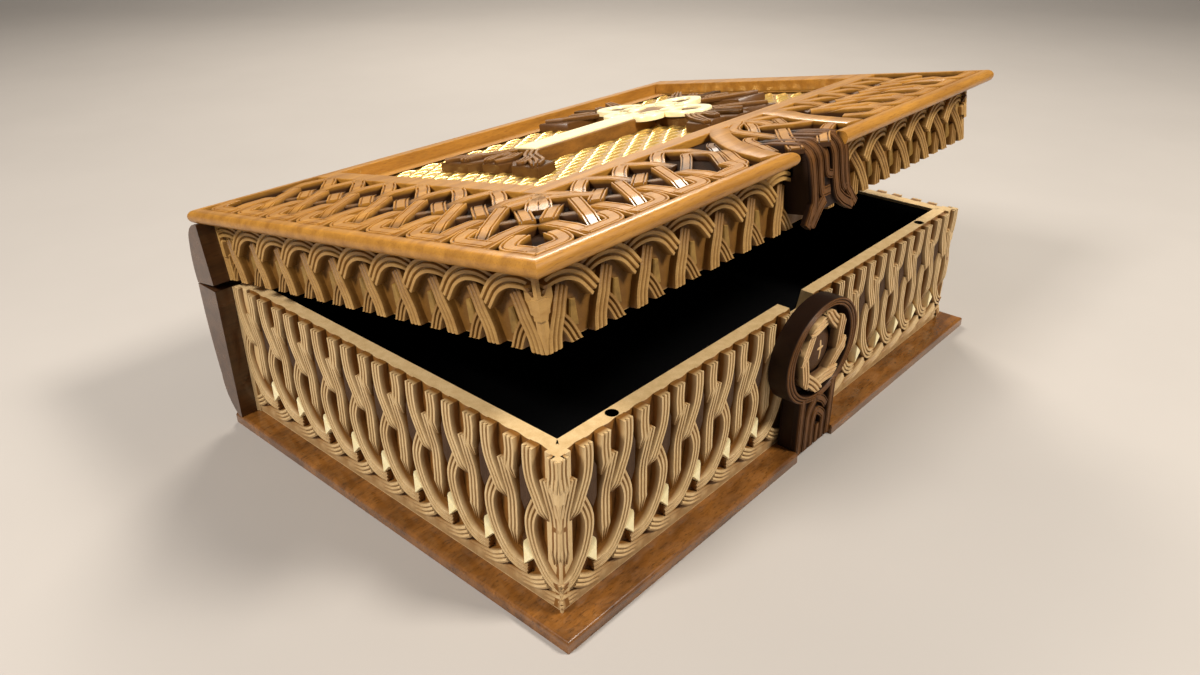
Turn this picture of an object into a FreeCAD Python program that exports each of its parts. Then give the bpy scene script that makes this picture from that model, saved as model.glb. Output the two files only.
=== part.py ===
import FreeCAD
import Part
import os
from math import cos, floor, pi, sin
from FreeCAD import Vector

# A carved book-shaped keepsake box: a case of four mitred walls between two
# covers, a rounded spine split at the rim, and a lid that swings on two butt
# hinges let into the spine. Millimetres, +Z up, origin under the middle of the
# walls, +X towards the head of the book, the fore-edge with its clasp at -Y.

# Walls and covers
wall_length = 310.0
wall_depth = 200.8
wall_thickness = 10.0
case_wall_height = 65.0
lid_wall_height = 27.5
bottom_cover_thickness = 5.0
top_cover_thickness = 5.8
cover_step = 3.4
cover_step_wall = 1.5
end_overhang = 8.0
front_overhang = 10.6
back_overhang = 5.8
bullnose_radius = 2.7
bottom_edge_radius = 1.5

# Lid against case
parting_gap = 0.4
rest_opening_angle = 10.0

# Spine
spine_root = 2.6
spine_bulge = 12.3
spine_arc_points = 4

# Carving
relief_depth = 4.0
carving_pitch = 20.5
gold_inlay_height = 2.6
dark_inlay_height = 3.0
band_pitch = 23.2
band_relief_depth = 3.5
band_margin = 5.0
band_border = 10.0

# Sunken panel on the lid
recess_length = 238.5
recess_depth_y = 136.0
recess_depth = 7.7
recess_back_margin = 9.0
recess_head_margin = 15.5
ground_thickness = 1.0
cross_height = 6.5
cross_foot_margin = 33.0
cross_head_margin = 25.5
cross_side_margin = 10.0
cross_width = 18.0
cross_arm_share = 0.66
gilding_width = 14.0
gilding_height = 0.8

# Clasp
clasp_projection = 9.4
ring_centre_height = 50.0
stem_width = 30.0
stem_bottom = 1.5
ring_half_width = 29.5
ring_half_height = 23.5
ring_inner_half_width = 23.5
ring_inner_half_height = 20.5
ring_recess = 6.0
ring_groove_depth = 0.8
ring_groove_shares = (0.35, 0.65)
rosette_radius = 18.7
rosette_edge = 3.0
rosette_dome = 3.5
rosette_bevel_share = 0.3
rosette_eye_radius = 6.5
boss_dome = 2.0
boss_flat_share = 0.45
tongue_width = 30.0
tongue_foot_width = 41.0
tongue_foot_height = 3.5
tongue_foot_gap = 0.5
tongue_flare_height = 5.0
tongue_arch_rise = 6.0
tongue_roll_radius = 8.0
thumb_notch_width = 16.0
thumb_notch_depth = 8.0

# Linings
lining_thickness = 1.5
floor_pad_thickness = 2.0
lining_setback = 1.5

# Magnets
magnet_diameter = 5.0
magnet_length = 3.0
magnet_end_inset = 34.0
magnet_face_inset = 6.9

# Butt hinges
hinge_spacing = 190.0
hinge_length = 45.0
leaf_width = 12.0
leaf_thickness = 1.2
barrel_radius = 2.2
pin_radius = 1.0
knuckle_count = 3
knuckle_gap = 0.2
barrel_clearance = 0.3
screw_count = 2
screw_spacing = 28.0
screw_head_radius = 2.0
screw_shank_radius = 1.0
screw_length = 8.0
screw_row = 6.6

# Sides of round forms that carry no motion
ring_sides = 32
screw_sides = 8

# Clearances and overrun of cuts
fit = 0.1
bore_fit = 0.05
overrun = 3.0

# Places worked out from the sizes above
half_length = wall_length / 2
front_y = -wall_depth / 2
back_y = wall_depth / 2
rim_z = bottom_cover_thickness + case_wall_height
lid_z = rim_z + parting_gap
cover_z = lid_z + lid_wall_height
top_z = cover_z + top_cover_thickness
cover_half = half_length + end_overhang
cover_front = front_y - front_overhang
cover_back = back_y + back_overhang
inner_half = half_length - wall_thickness
inner_y = back_y - wall_thickness
axis_y = back_y + spine_root + spine_bulge
axis_z = rim_z + parting_gap / 2
panel_back = cover_back - recess_back_margin
panel_front = panel_back - recess_depth_y
panel_head = cover_half - recess_head_margin
panel_tail = panel_head - recess_length
panel_mid_y = (panel_front + panel_back) / 2
ground_z = top_z - recess_depth + ground_thickness
magnet_x = half_length - magnet_end_inset
magnet_y = front_y + magnet_face_inset

along_x = Vector(1, 0, 0)
along_y = Vector(0, 1, 0)
along_z = Vector(0, 0, 1)


def box(x0, x1, y0, y1, z0, z1):
    return Part.makeBox(x1 - x0, y1 - y0, z1 - z0, Vector(x0, y0, z0))


def rod(radius, length, base, direction):
    return Part.makeCylinder(radius, length, base, direction)


def oval_wire(middle, reach_a, reach_b, sides):
    """Many-sided oval about a point, given its two half axes as vectors."""
    turns = [2 * pi * index / sides for index in range(sides)]
    points = [middle + reach_a * cos(turn) + reach_b * sin(turn) for turn in turns]
    return Part.makePolygon(points + points[:1])


def prism(wire, sweep):
    return Part.Face(wire).extrude(sweep)


def frustum(first, last):
    """Flat-sided solid between two many-sided wires of the same count."""
    low, high = [[vertex.Point for vertex in wire.OrderedVertexes] for wire in (first, last)]
    faces = [Part.Face(first), Part.Face(last)]
    for a, b, c, d in zip(low, low[1:] + low[:1], high[1:] + high[:1], high):
        faces.append(Part.Face(Part.makePolygon([a, b, c, d, a])))
    solid = Part.Solid(Part.Shell(faces))
    return solid if solid.Volume > 0 else solid.reversed()


def outline_wire(start, pieces):
    """Closed wire from a start point; each piece is (end,) or (middle of an arc, end)."""
    edges = []
    last = start
    for piece in pieces + [(start,)]:
        if last.distanceToPoint(piece[-1]) == 0:
            continue
        if len(piece) == 1:
            edges.append(Part.LineSegment(last, piece[0]).toShape())
        else:
            edges.append(Part.Arc(last, piece[0], piece[1]).toShape())
        last = piece[-1]
    return Part.Wire(edges)


def extruded(start, pieces, sweep):
    return prism(outline_wire(start, pieces), sweep)


def on_plane(place, start, pieces):
    """Carry an outline of pairs onto a plane given by a function of the pair."""
    moved = [tuple(place(*pair) for pair in piece) for piece in pieces]
    return place(*start), moved


def cut_all(shape, tools):
    return shape.cut(Part.makeCompound(tools)) if tools else shape


def mirrored(shape):
    """The same form on the other side of the middle plane of the book."""
    return shape.mirror(Vector(0, 0, 0), along_x)


# Ornament of one case wall unit, as shares of the pitch and of the wall's height
upper_oval_start_share = (0.26, 1.05)
upper_oval_shares = [((0.571, 1.05),), ((0.575, 0.90),), ((0.432, 0.761),), ((0.276, 0.855),)]
lower_oval_start_share = (0.30, 0.58)
lower_oval_shares = [((0.56, 0.60),), ((0.582, 0.45),), ((0.394, 0.296),), ((0.25, 0.42),)]
gap_start_share = (0.796, 1.05)
gap_shares = [
    ((0.785, 0.84),),
    ((0.66, 0.68),),
    ((0.81, 0.50),),
    ((0.60, 0.25),),
    ((0.42, 0.15),),
    ((0.885, 0.135),),
    ((1.16, 0.255),),
    ((1.02, 0.45),),
    ((1.10, 0.70),),
    ((1.03, 0.85),),
    ((1.03, 1.05),),
]
gold_start_share = (0.675, 0.267)
gold_shares = [((0.914, 0.188),), ((0.914, 0.342),)]
dark_start_share = (0.69, 0.68)
dark_shares = [((0.887, 0.55),), ((0.97, 0.60),), ((0.97, 0.80),), ((0.877, 0.86),)]
unit_width_share = 0.79

# Ornament of one lid wall unit, as shares of the pitch and of the wall's height
lid_gap_start_share = (0.725, 0.46)
lid_gap_shares = [
    ((1.40, 0.46),),
    ((1.21, 0.28),),
    ((1.10, -0.06),),
    ((0.767, -0.06),),
    ((0.70, 0.20),),
    ((0.592, 0.355),),
]
lid_vee_start_share = (0.453, -0.06)
lid_vee_shares = [((0.592, -0.06),), ((0.556, 0.225),)]
lid_gold_start_share = (0.76, 0.41)
lid_gold_shares = [((0.80, 0.11),), ((0.936, 0.165),), ((0.936, 0.41),)]


def face_place(corner, run, outward, pitch, base_z, height, index):
    """Maps (share of pitch, share of height) to a point on a wall's outer face."""
    def place(s, v):
        return corner + run * ((index + s) * pitch) + along_z * (base_z + v * height)
    return place


def carved_runs():
    """Corner, direction, outward normal, owner and unit count of each carved run."""
    unit_width = unit_width_share * carving_pitch
    front_count = floor((half_length - thumb_notch_width / 2 - unit_width) / carving_pitch) + 1
    side_count = floor((wall_depth - unit_width) / carving_pitch) + 1
    near = Vector(-half_length, front_y, 0)
    far = Vector(half_length, front_y, 0)
    return [
        ("front", near, along_x, -along_y, front_count),
        ("front", far, -along_x, -along_y, front_count),
        ("tail", near, along_y, -along_x, side_count),
        ("head", far, along_y, along_x, side_count),
    ]


def pocket(place, start, pieces, outward):
    first, rest = on_plane(place, start, pieces)
    solid = extruded(first, rest, outward * -(relief_depth + overrun))
    return solid.translated(outward * overrun)


def inlay(place, start, pieces, outward, height):
    """A small block that stands on the floor of a carved pocket."""
    first, rest = on_plane(place, start, pieces)
    return extruded(first, rest, outward * height).translated(outward * -relief_depth)


def case_carving(owner):
    pockets = []
    for name, corner, run, outward, count in carved_runs():
        for index in range(count if name == owner else 0):
            place = face_place(corner, run, outward, carving_pitch,
                               bottom_cover_thickness, case_wall_height, index)
            pockets.append(pocket(place, upper_oval_start_share, upper_oval_shares, outward))
            pockets.append(pocket(place, lower_oval_start_share, lower_oval_shares, outward))
            if index < count - 1:
                pockets.append(pocket(place, gap_start_share, gap_shares, outward))
    return pockets


def case_inlays(start, pieces, height):
    solids = []
    for name, corner, run, outward, count in carved_runs():
        for index in range(count - 1):
            place = face_place(corner, run, outward, carving_pitch,
                               bottom_cover_thickness, case_wall_height, index)
            solids.append(inlay(place, start, pieces, outward, height))
    return solids


def lid_carving(owner):
    pockets = []
    for name, corner, run, outward, count in carved_runs():
        for index in range(count if name == owner else 0):
            place = face_place(corner, run, outward, carving_pitch, lid_z, lid_wall_height, index)
            pockets.append(pocket(place, lid_vee_start_share, lid_vee_shares, outward))
            if index < count - 1:
                pockets.append(pocket(place, lid_gap_start_share, lid_gap_shares, outward))
    return pockets


def lid_inlays():
    solids = []
    for name, corner, run, outward, count in carved_runs():
        for index in range(count - 1):
            place = face_place(corner, run, outward, carving_pitch, lid_z, lid_wall_height, index)
            solids.append(inlay(place, lid_gold_start_share, lid_gold_shares, outward,
                                gold_inlay_height))
    return solids


def mitred_board(outer_a, outer_b, inner_b, inner_a, z0, z1):
    corners = [Vector(x, y, z0) for x, y in (outer_a, outer_b, inner_b, inner_a)]
    return extruded(corners[0], [(point,) for point in corners[1:]], along_z * (z1 - z0))


def wall_boards(z0, z1):
    """Four plain boards, mitred at the corners."""
    front = mitred_board((-half_length, front_y), (half_length, front_y),
                         (inner_half, -inner_y), (-inner_half, -inner_y), z0, z1)
    back = mitred_board((half_length, back_y), (-half_length, back_y),
                        (-inner_half, inner_y), (inner_half, inner_y), z0, z1)
    tail = mitred_board((-half_length, back_y), (-half_length, front_y),
                        (-inner_half, -inner_y), (-inner_half, inner_y), z0, z1)
    return {"front": front, "back": back, "tail": tail, "head": mirrored(tail)}


def magnet_discs(z0, radius, length):
    return [rod(radius, length, Vector(side * magnet_x, magnet_y, z0), along_z) for side in (-1, 1)]


def thumb_notch():
    half = thumb_notch_width / 2
    return box(-half, half, front_y - overrun, -inner_y + lining_thickness + overrun,
               rim_z - thumb_notch_depth, rim_z + overrun)


def case_walls():
    walls = wall_boards(bottom_cover_thickness, rim_z)
    holes = magnet_discs(rim_z - magnet_length, magnet_diameter / 2 + bore_fit, magnet_length + overrun)
    for name in ("front", "tail", "head"):
        extra = holes + [thumb_notch()] if name == "front" else []
        walls[name] = cut_all(walls[name], case_carving(name) + extra)
    return walls


def lid_walls():
    walls = wall_boards(lid_z, cover_z)
    holes = magnet_discs(lid_z - overrun, magnet_diameter / 2 + bore_fit, magnet_length + overrun)
    for name in ("front", "tail", "head"):
        extra = holes if name == "front" else []
        walls[name] = cut_all(walls[name], lid_carving(name) + extra)
    for name in ("back", "head"):
        walls[name] = walls[name].cut(step_block(0))
    return walls


def bottom_cover():
    board = box(-cover_half, cover_half, cover_front, cover_back, 0, bottom_cover_thickness)
    top_edges = [edge for edge in board.Edges
                 if edge.BoundBox.ZMin > bottom_cover_thickness / 2 and edge.BoundBox.YMin < back_y]
    board = board.makeFillet(bottom_edge_radius, top_edges)
    half = stem_width / 2 + fit
    return board.cut(box(-half, half, cover_front - overrun, front_y, -overrun,
                         bottom_cover_thickness + overrun))


def spine_profile(edge_z, seam_z):
    """D-shaped section between a cover and the parting line, two arcs along a quarter ellipse."""
    centre = Vector(-cover_half, back_y + spine_root, seam_z)

    def around(turn_share):
        angle = turn_share * pi / 2
        return centre + along_y * (spine_bulge * cos(angle)) + along_z * ((edge_z - seam_z) * sin(angle))
    first, *rest = [around(index / spine_arc_points) for index in range(spine_arc_points + 1)]
    flat = Vector(-cover_half, back_y, edge_z)
    seam = Vector(-cover_half, back_y, seam_z)
    return Part.Face(outline_wire(first, [tuple(rest[:2]), tuple(rest[2:]), (flat,), (seam,)]))


def hinge_places():
    return [-hinge_spacing / 2, hinge_spacing / 2]


def barrel(x, radius, slack):
    start = Vector(x - hinge_length / 2 - slack, axis_y, axis_z)
    return rod(radius, hinge_length + 2 * slack, start, along_x)


def leaf_plate(x, seam_z, into, slack):
    """Plate of one leaf; into is -1 for the case and +1 for the lid."""
    half = hinge_length / 2 + slack
    low, high = sorted((seam_z, seam_z + into * leaf_thickness))
    return box(x - half, x + half, axis_y - leaf_width - slack, axis_y, low, high)


def screw(x, seam_z, into, slack):
    """Countersunk screw, or the hole for it."""
    top = Vector(x, axis_y - screw_row, seam_z)
    neck = top + along_z * (into * leaf_thickness)

    def collar(middle, radius):
        return oval_wire(middle, along_x * (radius + slack), along_y * (radius + slack), screw_sides)
    head = frustum(collar(top, screw_head_radius), collar(neck, screw_shank_radius))
    length = screw_length - leaf_thickness + slack
    shank = prism(collar(neck, screw_shank_radius), along_z * (into * length))
    return head.fuse(shank)


def screws(seam_z, into, slack, x):
    first = x - screw_spacing * (screw_count - 1) / 2
    return [screw(first + n * screw_spacing, seam_z, into, slack) for n in range(screw_count)]


def spine(edge_z, seam_z, into):
    """One half of the spine with mortises for the hinges."""
    block = spine_profile(edge_z, seam_z).extrude(along_x * (2 * cover_half))
    cuts = []
    for x in hinge_places():
        cuts.append(barrel(x, barrel_radius + barrel_clearance, fit))
        plate = leaf_plate(x, seam_z, into, fit)
        cuts.append(plate.fuse(plate.translated(along_y * overrun)))
        cuts.extend(screws(seam_z, into, bore_fit, x))
    return cut_all(block, cuts)


def knuckle_span(x, index):
    step = hinge_length / knuckle_count
    return x - hinge_length / 2 + index * step, step


def hinge_leaf(x, seam_z, into, parity):
    """Leaf plate with every second knuckle, bored for the pin and the screws."""
    plate = leaf_plate(x, seam_z, into, 0)
    knuckles = []
    for index in range(knuckle_count):
        start, step = knuckle_span(x, index)
        if index % 2 == parity:
            base = Vector(start + knuckle_gap / 2, axis_y, axis_z)
            knuckles.append(rod(barrel_radius, step - knuckle_gap, base, along_x))
        else:
            base = Vector(start - knuckle_gap / 2, axis_y, axis_z)
            room = rod(barrel_radius + barrel_clearance, step + knuckle_gap, base, along_x)
            plate = plate.cut(room)
    leaf = plate.multiFuse(knuckles).removeSplitter()
    bore = barrel(x, pin_radius + bore_fit, overrun)
    return cut_all(leaf, [bore] + screws(seam_z, into, bore_fit, x))


def hinge_pin(x):
    return barrel(x, pin_radius, 0)


def ring_wire(half_width, half_height, y):
    middle = Vector(0, y, ring_centre_height)
    return oval_wire(middle, along_x * half_width, along_z * half_height, ring_sides)


def ring_oval(half_width, half_height, y0, y1):
    """Prism over an oval about the ring's axis."""
    return prism(ring_wire(half_width, half_height, y0), along_y * (y1 - y0))


def clasp_bracket():
    """Oval drum with a grooved ring and a stem that runs down over the bottom cover's edge."""
    front = front_y - clasp_projection
    stem = stem_width / 2
    drum = ring_oval(ring_half_width, ring_half_height, front, front_y)
    leg = box(-stem, stem, front, front_y, stem_bottom, ring_centre_height)
    recess = ring_oval(ring_inner_half_width, ring_inner_half_height, front - overrun, front + ring_recess)

    def part_way(share):
        return ring_oval(ring_inner_half_width + share * (ring_half_width - ring_inner_half_width),
                         ring_inner_half_height + share * (ring_half_height - ring_inner_half_height),
                         front - overrun, front + ring_groove_depth)
    inner, outer = [part_way(share) for share in ring_groove_shares]
    return cut_all(drum.fuse(leg).removeSplitter(), [outer.cut(inner), recess])


def domed_disc(radius, top_radius, dome):
    """Disc in the ring's seat with a bevelled top."""
    seat = front_y - clasp_projection + ring_recess
    shoulder = seat - rosette_edge
    disc = ring_oval(radius, radius, seat, shoulder)
    cap = frustum(ring_wire(radius, radius, shoulder), ring_wire(top_radius, top_radius, shoulder - dome))
    return disc.fuse(cap).removeSplitter()


def clasp_rosette():
    """Ring of the woven knot: a bevelled rim about an open eye."""
    bevel = (rosette_radius - rosette_eye_radius) * rosette_bevel_share
    disc = domed_disc(rosette_radius, rosette_radius - bevel, rosette_dome)
    eye = ring_oval(rosette_eye_radius, rosette_eye_radius, front_y - clasp_projection - overrun, front_y)
    return disc.cut(eye)


def rosette_boss():
    """Low button in the eye of the knot."""
    radius = rosette_eye_radius - fit
    return domed_disc(radius, radius * boss_flat_share, boss_dome)


def clasp_tongue():
    """Strap of the lid that rolls over the cover's edge and arches over the ring."""
    half = tongue_width / 2
    foot = tongue_foot_width / 2
    sole = rim_z + parting_gap + tongue_foot_gap

    def at(x, z):
        return Vector(x, front_y, z)
    strap = extruded(at(-foot, sole), [
        (at(0, sole + tongue_arch_rise), at(foot, sole)),
        (at(foot, sole + tongue_foot_height),),
        (at(half, sole + tongue_foot_height + tongue_flare_height),),
        (at(half, top_z),), (at(-half, top_z),),
        (at(-half, sole + tongue_foot_height + tongue_flare_height),),
        (at(-foot, sole + tongue_foot_height),)], -along_y * clasp_projection)
    front = front_y - clasp_projection
    roll = [edge for edge in strap.Edges
            if edge.BoundBox.ZMin > cover_z and edge.BoundBox.YMax < front + fit]
    return strap.makeFillet(tongue_roll_radius, roll)


# Openings of one unit of the cover's interlace, as shares of pitch and band width
band_cell_shares = [
    [(0.30, 0.16), (0.43, 0.16), (0.98, 0.51), (0.85, 0.57), (0.39, 0.45)],
    [(0.65, 0.98), (0.76, 0.83), (1.22, 0.98)],
    [(1.07, 0.81), (1.43, 0.93), (1.54, 0.73), (1.43, 0.71), (1.28, 0.79)],
]
# Openings of the knot beside the clasp, as shares of pitch and band width from the middle of the book
band_middle_shares = [
    [(-0.83, 0.98), (0.35, 0.98), (-0.59, 0.69)],
    [(-0.22, 0.60), (0.39, 0.88), (0.17, 0.61)],
    [(-0.65, 0.21), (-0.56, 0.33), (-0.04, 0.40), (-0.04, 0.26), (-0.43, 0.09)],
    [(0.43, 0.12), (1.04, 0.28), (1.13, 0.40), (0.78, 0.40)],
    [(0.80, 0.82), (1.43, 0.98), (1.39, 0.82)],
    [(1.43, 0.65), (1.87, 0.84), (1.74, 0.65)],
    [(-1.87, 0.05), (-1.74, 0.05), (-0.87, 0.51), (-1.00, 0.51)],
    [(1.50, 0.05), (1.63, 0.05), (1.96, 0.47), (1.74, 0.35)],
]


def band_cut(points):
    top = [Vector(x, y, top_z + overrun) for x, y in points]
    return extruded(top[0], [(point,) for point in top[1:]], -along_z * (band_relief_depth + overrun))


def cover_band():
    """Carved openings on the fore-edge band and on the tail band."""
    outer_x = -cover_half + band_margin
    outer_y = cover_front + band_margin
    front_width = panel_front - band_border - outer_y
    tail_width = panel_tail - band_border - outer_x
    widest = max(s for cell in band_cell_shares for s, w in cell)
    middle = max(-s for cell in band_middle_shares for s, w in cell)
    front_count = floor(-outer_x / band_pitch - middle - widest) + 1
    tail_count = floor((panel_back - outer_y) / band_pitch - widest) + 1
    front, tail = [], []
    for cell in band_cell_shares:
        for index in range(1, front_count):
            front.append(band_cut([(outer_x + (index + s) * band_pitch, outer_y + w * front_width)
                                   for s, w in cell]))
        for index in range(1, tail_count):
            tail.append(band_cut([(outer_x + w * tail_width, outer_y + (index + s) * band_pitch)
                                  for s, w in cell]))
    knot = [band_cut([(s * band_pitch, outer_y + w * front_width) for s, w in cell])
            for cell in band_middle_shares]
    return front + [mirrored(cut) for cut in front] + tail + knot


def step_block(slack):
    """Thickening under the cover, fitted between the lid walls and let into two of them."""
    x1 = inner_half - slack
    y1 = inner_y - slack
    rim = cover_step_wall - slack
    inside = box(-x1, x1, -y1, y1, cover_z - cover_step, cover_z)
    return inside.fuse(box(panel_tail - rim, panel_head + rim, panel_front - rim, panel_back + rim,
                           cover_z - cover_step, cover_z))


def top_cover():
    board = box(-cover_half, cover_half, cover_front, cover_back, cover_z, top_z)
    middle_z = (cover_z + top_z) / 2

    def rounded(edge):
        span = edge.BoundBox
        flat = span.ZLength < fit
        under_spine = span.YMin > back_y and span.ZMax < middle_z
        return flat and not under_spine
    board = board.makeFillet(bullnose_radius, [edge for edge in board.Edges if rounded(edge)])
    board = board.fuse(step_block(fit)).removeSplitter()
    half = tongue_width / 2 + fit
    notch = box(-half, half, cover_front - overrun, front_y, cover_z - overrun, top_z + overrun)
    panel = box(panel_tail, panel_head, panel_front, panel_back, top_z - recess_depth, top_z + overrun)
    return cut_all(board, [notch, panel] + cover_band())


def gilded_ground():
    return box(panel_tail + fit, panel_head - fit, panel_front + fit, panel_back - fit,
               top_z - recess_depth, ground_z)


def cross_frame():
    """Foot, head and arm places of the cross and the reach of its arms."""
    foot = panel_tail + cross_foot_margin
    head = panel_head - cross_head_margin
    arm = foot + (head - foot) * cross_arm_share
    return foot, head, arm, recess_depth_y / 2 - cross_side_margin


# Half of a flared arm and half of the foot's leaves, as shares of the arm's reach out and across
arm_shares = [(0.00, 0.16), (0.56, 0.17), (0.70, 0.42), (1.00, 0.50),
              (0.88, 0.26), (0.90, 0.14), (1.00, 0.10)]
leaf_shares = [(0.42, 0.155), (0.30, 0.24), (0.22, 0.53), (0.00, 0.57),
               (0.02, 0.26), (0.12, 0.16), (0.04, 0.10)]
gilded_arm_share = 0.62


def cross_limb(start, outward, reach, shares):
    """Prism over an outline that is alike on both sides of its axis."""
    across = Vector(-outward.y, outward.x, 0)
    sides = [[start + outward * (out * reach) + across * (side * wide * reach) for out, wide in shares]
             for side in (-1, 1)]
    points = sides[0] + sides[1][::-1]
    return extruded(points[0], [(point,) for point in points[1:]], along_z * cross_height)


def cover_cross():
    """Flowering cross: flared ends on three arms and a pair of leaves at the foot."""
    foot, head, arm, reach = cross_frame()
    half = cross_width / 2
    centre = Vector(arm, panel_mid_y, ground_z)
    pieces = [
        box(foot + reach * leaf_shares[0][0], arm + half, panel_mid_y - half, panel_mid_y + half,
            ground_z, ground_z + cross_height),
        cross_limb(centre, along_x, head - arm, arm_shares),
        cross_limb(centre, along_y, reach, arm_shares),
        cross_limb(centre, -along_y, reach, arm_shares),
        cross_limb(Vector(foot, panel_mid_y, ground_z), along_x, reach, leaf_shares),
    ]
    return pieces[0].multiFuse(pieces[1:]).removeSplitter()


def cross_gilding():
    foot, head, arm, reach = cross_frame()
    half = gilding_width / 2
    z0 = ground_z + cross_height
    z1 = z0 + gilding_height
    arm_reach = reach * gilded_arm_share
    shaft = box(foot + reach * leaf_shares[0][0], arm + arm_reach,
                panel_mid_y - half, panel_mid_y + half, z0, z1)
    bar = box(arm - half, arm + half, panel_mid_y - arm_reach, panel_mid_y + arm_reach, z0, z1)
    return shaft.fuse(bar).removeSplitter()


def side_linings(z0, z1):
    """Velvet-covered boards inside the four walls."""
    x1 = inner_half - fit
    y1 = inner_y - fit
    x2 = x1 - lining_thickness
    y2 = y1 - lining_thickness
    front = box(-x1, x1, -y1, -y2, z0, z1)
    back = box(-x1, x1, y2, y1, z0, z1)
    tail = box(-x1, -x2, -y2 + fit, y2 - fit, z0, z1)
    return {"front": front, "back": back, "tail": tail, "head": mirrored(tail)}


def flat_lining(z0, z1):
    return box(-inner_half + fit, inner_half - fit, -inner_y + fit, inner_y - fit, z0, z1)


def group(solids):
    return Part.makeCompound(solids)


def case_nodes():
    walls = case_walls()
    floor_top = bottom_cover_thickness + floor_pad_thickness
    linings = side_linings(floor_top, rim_z - lining_setback)
    linings["front"] = linings["front"].cut(thumb_notch())
    nodes = {name + "_wall": walls[name] for name in walls}
    nodes.update({name + "_lining": linings[name] for name in linings})
    nodes["bottom_cover"] = bottom_cover()
    nodes["lower_spine"] = spine(bottom_cover_thickness, rim_z, -1)
    nodes["floor_lining"] = flat_lining(bottom_cover_thickness, floor_top)
    nodes["clasp_bracket"] = clasp_bracket()
    nodes["clasp_rosette"] = clasp_rosette()
    nodes["rosette_boss"] = rosette_boss()
    nodes["case_magnets"] = group(magnet_discs(rim_z - magnet_length, magnet_diameter / 2, magnet_length))
    nodes["case_gold_inlays"] = group(case_inlays(gold_start_share, gold_shares, gold_inlay_height))
    nodes["case_dark_inlays"] = group(case_inlays(dark_start_share, dark_shares, dark_inlay_height))
    lower_screws = []
    for name, x in zip(("tail", "head"), hinge_places()):
        nodes[name + "_hinge_lower_leaf"] = hinge_leaf(x, rim_z, -1, 0)
        nodes[name + "_hinge_pin"] = hinge_pin(x)
        lower_screws += screws(rim_z, -1, 0, x)
    nodes["case_hinge_screws"] = group(lower_screws)
    return nodes


def lid_nodes():
    """Lid pieces as they lie when the box is shut."""
    walls = lid_walls()
    ceiling_z = cover_z - cover_step - lining_thickness
    linings = side_linings(lid_z + lining_setback, ceiling_z)
    nodes = {"lid_" + name + "_wall": walls[name] for name in walls}
    nodes.update({"lid_" + name + "_lining": linings[name] for name in linings})
    nodes["lid_ceiling_lining"] = flat_lining(ceiling_z, cover_z - cover_step)
    nodes["top_cover"] = top_cover()
    nodes["gilded_ground"] = gilded_ground()
    nodes["cover_cross"] = cover_cross()
    nodes["cross_gilding"] = cross_gilding()
    nodes["upper_spine"] = spine(cover_z, lid_z, 1)
    nodes["clasp_tongue"] = clasp_tongue()
    nodes["lid_magnets"] = group(magnet_discs(lid_z, magnet_diameter / 2, magnet_length))
    nodes["lid_gold_inlays"] = group(lid_inlays())
    upper_screws = []
    for name, x in zip(("tail", "head"), hinge_places()):
        nodes[name + "_hinge_upper_leaf"] = hinge_leaf(x, lid_z, 1, 1)
        upper_screws += screws(lid_z, 1, 0, x)
    nodes["lid_hinge_screws"] = group(upper_screws)
    return nodes


def opened(shape):
    """The lid's rest pose: raised at the fore-edge about the hinge axis."""
    return shape.rotated(Vector(0, axis_y, axis_z), -along_x, rest_opening_angle)


def main():
    os.makedirs("parts", exist_ok=True)
    nodes = case_nodes()
    nodes.update({name: opened(shape) for name, shape in lid_nodes().items()})
    for name, shape in sorted(nodes.items()):
        shape.exportStep(os.path.join("parts", name + ".step"))
        print(name, len(shape.Solids), "solids", round(shape.Volume), "mm3", shape.isValid())


main()
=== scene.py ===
from math import radians
import bpy
import numpy as np
from mathutils import Matrix


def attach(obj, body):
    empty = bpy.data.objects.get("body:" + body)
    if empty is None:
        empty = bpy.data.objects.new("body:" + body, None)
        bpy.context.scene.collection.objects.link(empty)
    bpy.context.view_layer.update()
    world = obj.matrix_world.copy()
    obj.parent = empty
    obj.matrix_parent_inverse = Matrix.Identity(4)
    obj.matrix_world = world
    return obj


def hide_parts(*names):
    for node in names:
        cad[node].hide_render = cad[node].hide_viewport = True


# Carved book box: the numbers below are millimetres, +Z up, clasp towards -Y
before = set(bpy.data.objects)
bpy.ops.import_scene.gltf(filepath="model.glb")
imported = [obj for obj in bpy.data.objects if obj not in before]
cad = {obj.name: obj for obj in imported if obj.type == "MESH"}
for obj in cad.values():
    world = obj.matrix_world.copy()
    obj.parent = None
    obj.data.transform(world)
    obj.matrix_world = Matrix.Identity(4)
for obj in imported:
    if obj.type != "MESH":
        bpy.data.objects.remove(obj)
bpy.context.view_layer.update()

box = {
    "halfLength": 155, "frontY": -100.4, "backY": 100.4, "wall": 10,
    "footZ": 5, "rimZ": 70, "lidZ": 70.4, "coverZ": 97.9, "topZ": 103.7,
    "coverHalf": 163, "coverFront": -111, "coverBack": 106.2,
    "axisY": 115.3, "axisZ": 70.2, "openAngle": 10,
    "caseHeight": 65, "lidHeight": 27.5,
}
toMetres = 0.001
sharpDegrees = 40
runX = np.array([1, 0, 0])
runY = np.array([0, 1, 0])
runZ = np.array([0, 0, 1])


# A part is points, the corner numbers of its faces, the size of each face and a depth per point
def newPart(points, loops, sizes, depth=None):
    points = np.asarray(points, float).reshape(-1, 3)
    shade = np.zeros(len(points)) if depth is None else np.asarray(depth, float).ravel()
    return {"points": points, "loops": np.asarray(loops, int),
            "sizes": np.asarray(sizes, int), "depth": shade}


def joinParts(parts):
    starts = np.cumsum([0] + [len(p["points"]) for p in parts[:-1]])
    loops = np.concatenate([p["loops"] + start for p, start in zip(parts, starts)])
    points, sizes, depth = [np.concatenate([p[key] for p in parts]) for key in ("points", "sizes", "depth")]
    return newPart(points, loops, sizes, depth)


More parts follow.
